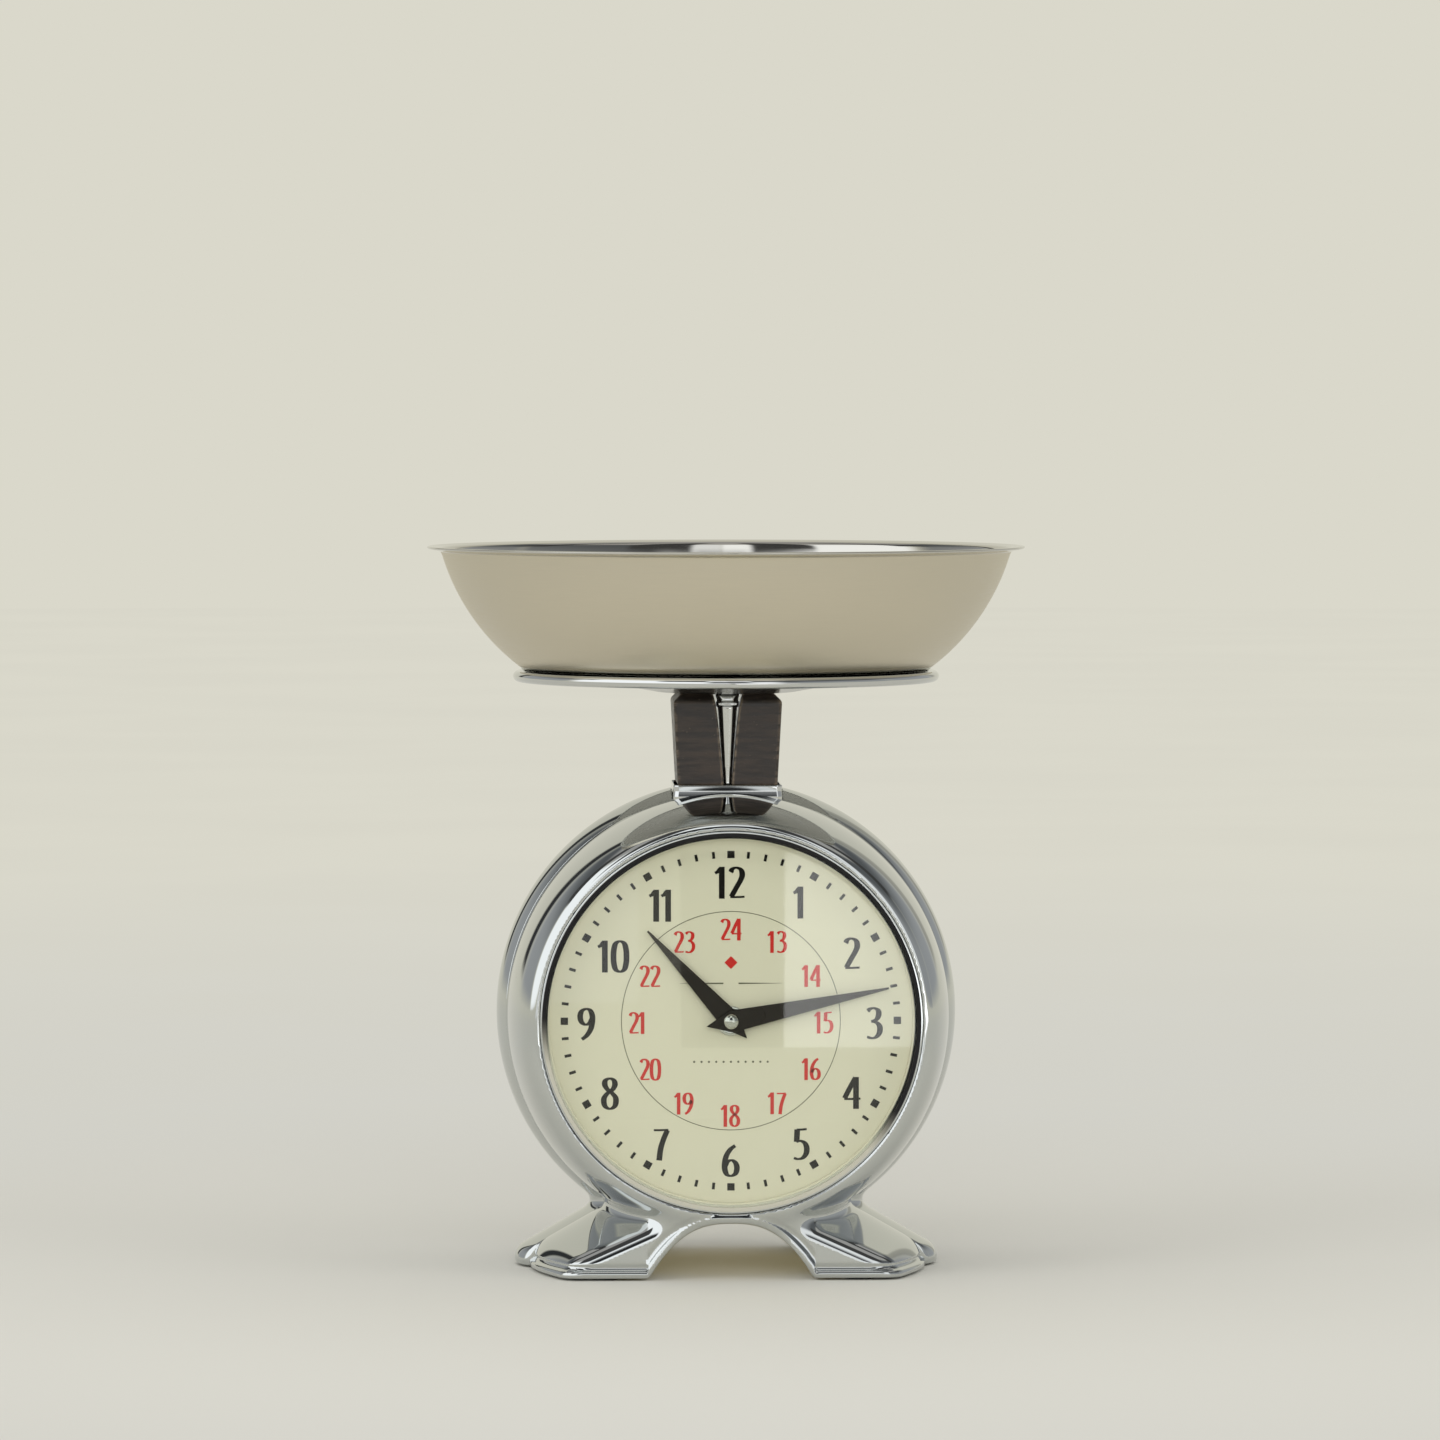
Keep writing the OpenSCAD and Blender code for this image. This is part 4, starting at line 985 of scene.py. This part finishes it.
def arc_bar(a0, a1, r0, r1, side, y, steps, lift=RAISED):
    """A raised arc between two angles, in degrees, and two radii."""
    angles = np.radians(np.linspace(a0, a1, steps))
    verts = []
    for depth in (0.0, lift):
        for radius in (r0, r1):
            verts.extend((x, y + side * depth, z) for x, z in (dial_point(side, a, radius) for a in angles))
    return verts, strip_faces(steps)


INKS = {"black": "ink", "red": "red", "fine": "fine"}


def printing(dial, marks):
    """One raised piece for each ink of a dial."""
    for ink, parts in marks.items():
        obj = make_piece(dial + "_print_" + ink, *join_parts(parts), MAT[INKS[ink]], "housing", "dial_cream",
                         smooth=False)
        fix_outward(obj)


BLACK_DROP, RED_DROP = 1.1, 0.8
BLACK_REACH, BLACK_REACH_AT = 55.1, {3: 56.3, 6: 54.3, 9: 57.0, 10: 53.2, 11: 53.8, 12: 55.6}
RED_REACH = 36.8


def build_clock_print():
    """Minute and hour marks, black 1 to 12, red 13 to 24 and plain signs where the maker's words were."""
    side, y = -1, -DIAL_Y
    raised = y + side * RAISED
    black, red, fine = [], [], []
    for minute in range(60):
        inner, outer, width = (64.3, 67.0, 1.15) if minute % 5 else (64.2, 67.1, 2.9)
        black.append(tick(minute * 6, inner, outer, width, side, y))
    for hour in range(1, 13):
        a = math.radians(30 * hour)
        x, z = dial_point(side, a, BLACK_REACH_AT.get(hour, BLACK_REACH))
        black += figure(str(hour), x, z - BLACK_DROP, 12.6, side, y, 1.05, 1.04)
        x, z = dial_point(side, a, RED_REACH)
        red += figure(str(hour + 12), x, z - RED_DROP, 8.6, side, y, 1.05, 0.94)
    fine.append(arc_bar(0, 360, 43.0, 43.3, side, y, 181, RAISED * 0.6))
    sign_z, half = AXIS_Z + 23.0, 2.6
    diamond = [(0, sign_z + half, 0.3), (half, sign_z, 0.3), (0, sign_z - half, 0.3), (-half, sign_z, 0.3)]
    red.append(prism_y(rounded(diamond, steps=3), raised, y))
    rule_z = AXIS_Z + 14.8
    for s in (-1, 1):
        rule = [(s * 3, rule_z + 0.3), (s * 20, rule_z + 0.05), (s * 20, rule_z - 0.05), (s * 3, rule_z - 0.3)]
        fine.append(prism_y(rule, raised, y))
    dot_r, dot_z, dot_pitch = 0.45, AXIS_Z - 16.2, 2.9
    for i in range(-5, 6):
        dot = [(i * dot_pitch + dot_r * math.cos(a), dot_z + dot_r * math.sin(a))
               for a in np.linspace(0, 2 * math.pi, 13)[:-1]]
        fine.append(prism_y(dot, raised, y))
    printing("clock", {"black": black, "red": red, "fine": fine})


def build_weight_print():
    """Generic 0 to 5 scale: ten small steps to a half, figures at whole units."""
    side, y = 1, DIAL_Y
    sweep, outer, units = 286.479, 67.2, 5
    black, red, fine = [], [], []
    for i in range(10 * units + 1):
        a = sweep * i / (10 * units)
        if i % 5:
            fine.append(tick(a, 64.2, outer, 0.45, side, y))
        elif i % 10:
            black.append(tick(a, 62.5, outer, 0.9, side, y))
        else:
            black.append(tick(a, 60.5, outer, 1.5, side, y))
    for i in range(units + 1):
        black += figure(str(i), *dial_point(side, math.radians(sweep * i / units), 52.5), 12.0, side, y)
    fine.append(arc_bar(0, sweep, outer, 67.5, side, y, 161))
    red.append(arc_bar(0, sweep, 43.0, 43.5, side, y, 161))
    printing("weight", {"black": black, "red": red, "fine": fine})


build_clock_print()
build_weight_print()


# ---------------------------------------------------------------- hands, nuts, pointer, zero knob
def turned_outline(points, degrees):
    """An upright outline turned clockwise about the drum's axis."""
    a = math.radians(degrees)
    c, s = math.cos(a), math.sin(a)
    return [(x * c + z * s, AXIS_Z - x * s + z * c) for x, z in points]


def build_hand(node, degrees, length, half, tail):
    """A kite-shaped hand: fine tip, widest at its hub, short tail."""
    low, high = box_mm(node)
    kite = [(-0.38, length), (0.38, length), (half, 0), (0, -tail), (-half, 0)]
    verts, faces = prism_y(turned_outline(kite, degrees), low[1] + 0.02, high[1], 0.2)
    obj = make_piece(node + "_blade", verts, faces, MAT["hand"], node, "hand_paint", [node], smooth=False)
    fix_outward(obj)


def build_nuts():
    """Domed nut on the hands and ring nut on the movement's neck."""
    centre = (0, 0, AXIS_Z)
    low, high = box_mm("hand_nut")
    nut_r, rise = 3.05, 1.55
    dome = [(nut_r * math.sin(a), low[1] + rise * (1 - math.cos(a)))
            for a in np.radians(np.linspace(8, 90, 12))]
    profile = np.array([(0, low[1]), *dome, (nut_r, high[1]), (0, high[1])])
    lathe("hand_nut_dome", profile, MAT["trim"], "minute_hand", "chrome_trim", "y", centre, ["hand_nut"], 64)
    low, high = box_mm("clock_nut")
    inner, outer = 4.05, 5.95
    ring = rounded([(inner, low[1], 0.3), (outer, low[1], 0.5), (outer, high[1], 0), (inner, high[1], 0)],
                   steps=4)
    lathe("clock_nut_ring", ring, MAT["trim"], "housing", "chrome_trim", "y", centre, ["clock_nut"], 72)


def build_pointer():
    """Red pointer of the weighing dial: a tapered blade on a stepped hub."""
    low, high = box_mm("weight_pointer")
    y = low[1]
    length, tail, hole_r = high[2] - AXIS_Z, 18.0, 1.52
    blade = [(-0.35, length), (0.35, length), (3.4, -tail), (-3.4, -tail)]
    verts, faces = prism_y(turned_outline(blade, 0), y + 0.6, y, 0.18)
    obj = make_piece("weight_pointer_blade", verts, faces, MAT["pointer"], "pointer", "pointer_paint",
                     ["weight_pointer"], smooth=False)
    fix_outward(obj)
    hub = rounded([(hole_r, y, 0), (5, y, 0), (5, y + 1.0, 0.4), (3.6, y + 1.4, 0.3), (hole_r, y + 1.4, 0)],
                  steps=4)
    lathe("weight_pointer_hub", hub, MAT["pointer"], "pointer", "pointer_paint", "y", (0, 0, AXIS_Z),
          segments=72)


def build_zero_knob():
    """Knurled thumbwheel with a dished top."""
    cx = (knob_low[0] + knob_high[0]) / 2
    low, top, bore_r = knob_low[2], knob_high[2], 2.0
    profile = rounded([(bore_r, low, 0), (8.6, low, 0.5), (9.3, low + 0.8, 0.5), (9.3, top - 0.9, 0.7),
                       (8.4, top, 0.6), (6.4, top, 0.5), (5.8, top - 0.8, 0.5), (bore_r, top - 0.8, 0)],
                      steps=4)
    teeth, per_tooth, depth = 36, 8, 0.32
    count = teeth * per_tooth
    verts = []
    for r, z in profile:
        grip = max(0.0, min(1.0, (r - 8.7) / 0.5))
        for k in range(count):
            a = 2 * math.pi * k / count
            wavy = r + depth * grip * (math.cos(a * teeth) - 0.1)
            verts.append((cx + wavy * math.cos(a), KNOB_Y + wavy * math.sin(a), z))
    obj = make_piece("zero_knob_wheel", verts, ring_faces(len(profile), count), MAT["cheek"], "zero_knob",
                     "cheek_bakelite", ["zero_knob"])
    fix_outward(obj)
    obj.data.set_sharp_from_angle(angle=math.radians(40))


build_hand("minute_hand", 78.2, 63.5, 4.4, 10.0)
build_hand("hour_hand", 317.3, 48.5, 4.2, 9.3)
build_nuts()
build_pointer()
build_zero_knob()


# ---------------------------------------------------------------- finishes of the CAD nodes that stay
KEEP = {
    "zinc": ["front_plate", "rear_plate", "plate_pillars", "lever_studs", "upper_lever", "lower_lever",
             "carriage", "carriage_pins", "spring_anchor"],
    "screw": ["case_screws", "plate_screws", "core_screws", "platform_screws", "zero_screw"],
    "brass": ["rack", "pointer_arbor", "arbor_bush", "hour_pipe", "minute_arbor"],
    "spring": ["left_spring", "right_spring"],
    "rubber": ["foot_pads"],
    "cream": ["clock_dial", "weight_dial"],
    "black": ["clock_movement"],
    "white": ["set_knob"],
    "sleeve": ["battery"],
}
SOFT_EDGE = {"zinc": 0.3, "screw": 0.2, "black": 0.6, "white": 0.4, "sleeve": 0.5, "rubber": 0.2}
for key, nodes in KEEP.items():
    for node in nodes:
        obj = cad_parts[node]
        for i in range(len(obj.material_slots)):
            obj.material_slots[i].material = MAT[key]
        if not obj.material_slots:
            obj.data.materials.append(MAT[key])
        if key in SOFT_EDGE:
            bevel = obj.modifiers.new("soft_edge", "BEVEL")
            bevel.width = SOFT_EDGE[key] * MM
            bevel.segments = 2
            bevel.limit_method = "ANGLE"
            bevel.angle_limit = math.radians(40)


# ---------------------------------------------------------------- floor, light and camera
BACKDROP = srgb(218, 216, 203)


def build_floor():
    """Pale disc that fades into the backdrop, with a warm glow in the shade under the arch."""
    mesh = bpy.data.meshes.new("floor")
    radius, segments = 9.0, 96
    angles = [2 * math.pi * k / segments for k in range(segments)]
    verts = [(radius * math.cos(a), radius * math.sin(a), 0) for a in angles]
    mesh.from_pydata(verts, [], [list(range(segments))])
    floor = bpy.data.objects.new("floor", mesh)
    bpy.context.scene.collection.objects.link(floor)
    mat, n, s = material("pale_floor")
    s.inputs["Base Color"].default_value = (0.735, 0.73, 0.69, 1)
    s.inputs["Roughness"].default_value = 0.8
    s.inputs["Specular IOR Level"].default_value = 0.15
    s.inputs["Emission Color"].default_value = (1.0, 0.80, 0.36, 1)
    where = n.coords()
    away = n.add("ShaderNodeVectorMath", {0: where}, operation="LENGTH").outputs["Value"]
    # painted light: the floor itself glows warm within a few centimetres of the middle, lifting the shade
    # under the arch
    n.tree.links.new(n.ramp(away, 0.03, 0.085, 0.10, 0.0), s.inputs["Emission Strength"])
    far = n.mix(n.ramp(away, 0.5, 3.0), srgb(210, 209, 201), BACKDROP)
    far = n.mix(n.ramp(n.noise(where, 3.0), 0.3, 0.7, 0.0, 0.25), far, srgb(211, 209, 197))
    glow = n.add("ShaderNodeEmission", {"Color": far, "Strength": 1.0}).outputs[0]
    show(n, n.add("ShaderNodeMixShader", {0: n.ramp(away, 0.28, 0.75), 1: s.outputs[0], 2: glow}).outputs[0])
    mesh.materials.append(mat)


def build_world():
    """Plain backdrop for the camera, even light for matt surfaces, a studio of panels for reflections.

    The studio goes by direction alone: degrees round from the front on either side, and degrees up.
    """
    world = bpy.data.worlds.new("studio")
    world.use_nodes = True
    world.cycles.sampling_method = "NONE"
    bpy.context.scene.world = world
    tree = world.node_tree
    tree.nodes.clear()
    n = Nodes(tree)
    direction = n.add("ShaderNodeTexCoord").outputs["Generated"]
    x, y, z = n.add("ShaderNodeSeparateXYZ", {0: direction}).outputs
    turn = n.math("ABSOLUTE", n.math("ARCTAN2", x, n.math("MULTIPLY", y, -1.0)))
    rise = n.math("ARCSINE", z)
    right = n.ramp(x, -0.02, 0.02)
    left = n.math("SUBTRACT", 1.0, right)

    def edge(value, low, high, *ends):
        """Soft step between two angles."""
        return n.ramp(value, math.radians(low), math.radians(high), *ends)

    def band(value, start, end, soft):
        """1 between two angles, 0 outside them."""
        fall = edge(value, end - soft, end + soft, 1.0, 0.0)
        return n.math("MULTIPLY", edge(value, start - soft, start + soft), fall)

    def panel(turns, rises, share=1.0):
        """Weight of a patch of the studio; each span is (from, to, softness)."""
        return n.math("MULTIPLY", n.math("MULTIPLY", band(turn, *turns), band(rise, *rises)), share)

    def grey(level, blue=0.0):
        return (level * (1 - blue), level, level * (1 + blue), 1)

    rear_flag = n.mix(edge(rise, 12, 42), grey(0.42, 0.03), grey(0.13, 0.06))
    room = n.mix(edge(rise, 12, 38), grey(0.40, 0.03), grey(0.14, 0.06))
    room = n.mix(edge(turn, 22, 34), grey(1.15, 0.02), room)
    seam_share = n.math("SUBTRACT", 1.0, n.math("MULTIPLY", right, 0.6))
    blocks = n.math("ADD", band(turn, 14, 44, 2), band(turn, 88, 112, 2))
    colour = srgb(216, 214, 200)
    for weight, paint_over in (
            (panel((98, 146, 7), (1, 90, 3)), rear_flag),
            (panel((147, 154, 1.5), (3, 46, 2), seam_share), grey(0.04, 0.05)),
            (panel((-5, 93, 5), (-1, 50, 3), left), grey(1.42, 0.02)),
            (panel((-5, 98, 5), (-1, 50, 3), right), room),
            (panel((-20, 12, 4), (8, 34, 2)), grey(0.035, 0.05)),
            (edge(rise, 45, 55), grey(0.46, -0.02)),
            (n.math("MULTIPLY", blocks, band(rise, 33, 80, 2)), grey(0.07))):
        colour = n.mix(weight, colour, paint_over)
    path = n.add("ShaderNodeLightPath").outputs
    studio, plain, even = [n.add("ShaderNodeBackground", {0: tint, 1: level}).outputs[0]
                           for tint, level in ((colour, 1.0), (BACKDROP, 1.0), ((0.80, 0.79, 0.75, 1), 0.95))]
    lit = n.add("ShaderNodeMixShader", {0: path["Is Glossy Ray"], 1: even, 2: studio}).outputs[0]
    seen = n.add("ShaderNodeMixShader", {0: path["Is Camera Ray"], 1: lit, 2: plain}).outputs[0]
    n.add("ShaderNodeOutputWorld", {0: seen})


def glass_card(name, corners, level):
    """A glowing card lying on the floor before the scale, seen only in its reflections."""
    mesh = bpy.data.meshes.new(name)
    mesh.from_pydata([(x, y, 0.002) for x, y in corners], [], [[0, 1, 2, 3]])
    card = bpy.data.objects.new(name, mesh)
    bpy.context.scene.collection.objects.link(card)
    card.visible_camera = card.visible_diffuse = card.visible_shadow = card.visible_transmission = False
    mat, n, _ = material(name)
    dim = tone((level * 0.9, level * 0.92, level * 0.95))
    glow = n.mix(n.noise(n.coords(), 6.0), tone((level,) * 3), dim)
    show(n, n.add("ShaderNodeEmission", {"Color": glow}).outputs[0])
    mesh.materials.append(mat)


def area_light(name, place, size, power):
    """A soft warm light aimed at the scale, left out of reflections."""
    light = bpy.data.lights.new(name, "AREA")
    light.shape = "RECTANGLE"
    light.size, light.size_y = size
    light.energy = power
    light.color = (1, 0.985, 0.95)
    obj = bpy.data.objects.new(name, light)
    obj.location = place
    obj.rotation_euler = (Vector((0, 0, 0.12)) - Vector(place)).to_track_quat("-Z", "Y").to_euler()
    obj.visible_glossy = False
    obj.visible_camera = False
    bpy.context.scene.collection.objects.link(obj)


def build_camera():
    """Long lens a little left of the clock's axis, just above the bowl's rim, looking slightly down."""
    distance, height = 3.2, 0.357
    round_left, turned_back = math.radians(2.0), math.radians(0.043)
    pitch = math.atan(0.043375)
    data = bpy.data.cameras.new("camera")
    data.sensor_width = 36.0
    data.lens = 200.0
    data.clip_end = 60.0
    camera = bpy.data.objects.new("camera", data)
    camera.location = (-distance * math.sin(round_left), -distance * math.cos(round_left), height)
    heading = round_left - turned_back
    level = math.cos(pitch)
    ahead = Vector((math.sin(heading) * level, math.cos(heading) * level, -math.sin(pitch)))
    camera.rotation_euler = ahead.to_track_quat("-Z", "Y").to_euler()
    bpy.context.scene.collection.objects.link(camera)
    bpy.context.scene.camera = camera


build_floor()
build_world()
glass_card("card_dark", [(0.061, -2.85), (0.139, -2.85), (0.0655, -1.13), (0.0115, -1.13)], 0.03)
glass_card("card_right", [(0.139, -2.85), (0.9, -2.85), (0.9, -1.13), (0.0655, -1.13)], 2.3)
glass_card("card_left", [(-0.9, -2.85), (0.0306, -2.85), (-0.0036, -1.434), (-0.9, -1.434)], 1.0)
area_light("key_left", (-1.8, -1.4, 1.3), (1.2, 1.2), 9)
area_light("key_right", (1.9, -1.2, 1.2), (1.2, 1.2), 6)
area_light("front_fill", (0.0, -2.6, 0.9), (1.4, 0.8), 17)
build_camera()
bpy.context.scene.view_settings.view_transform = "Standard"
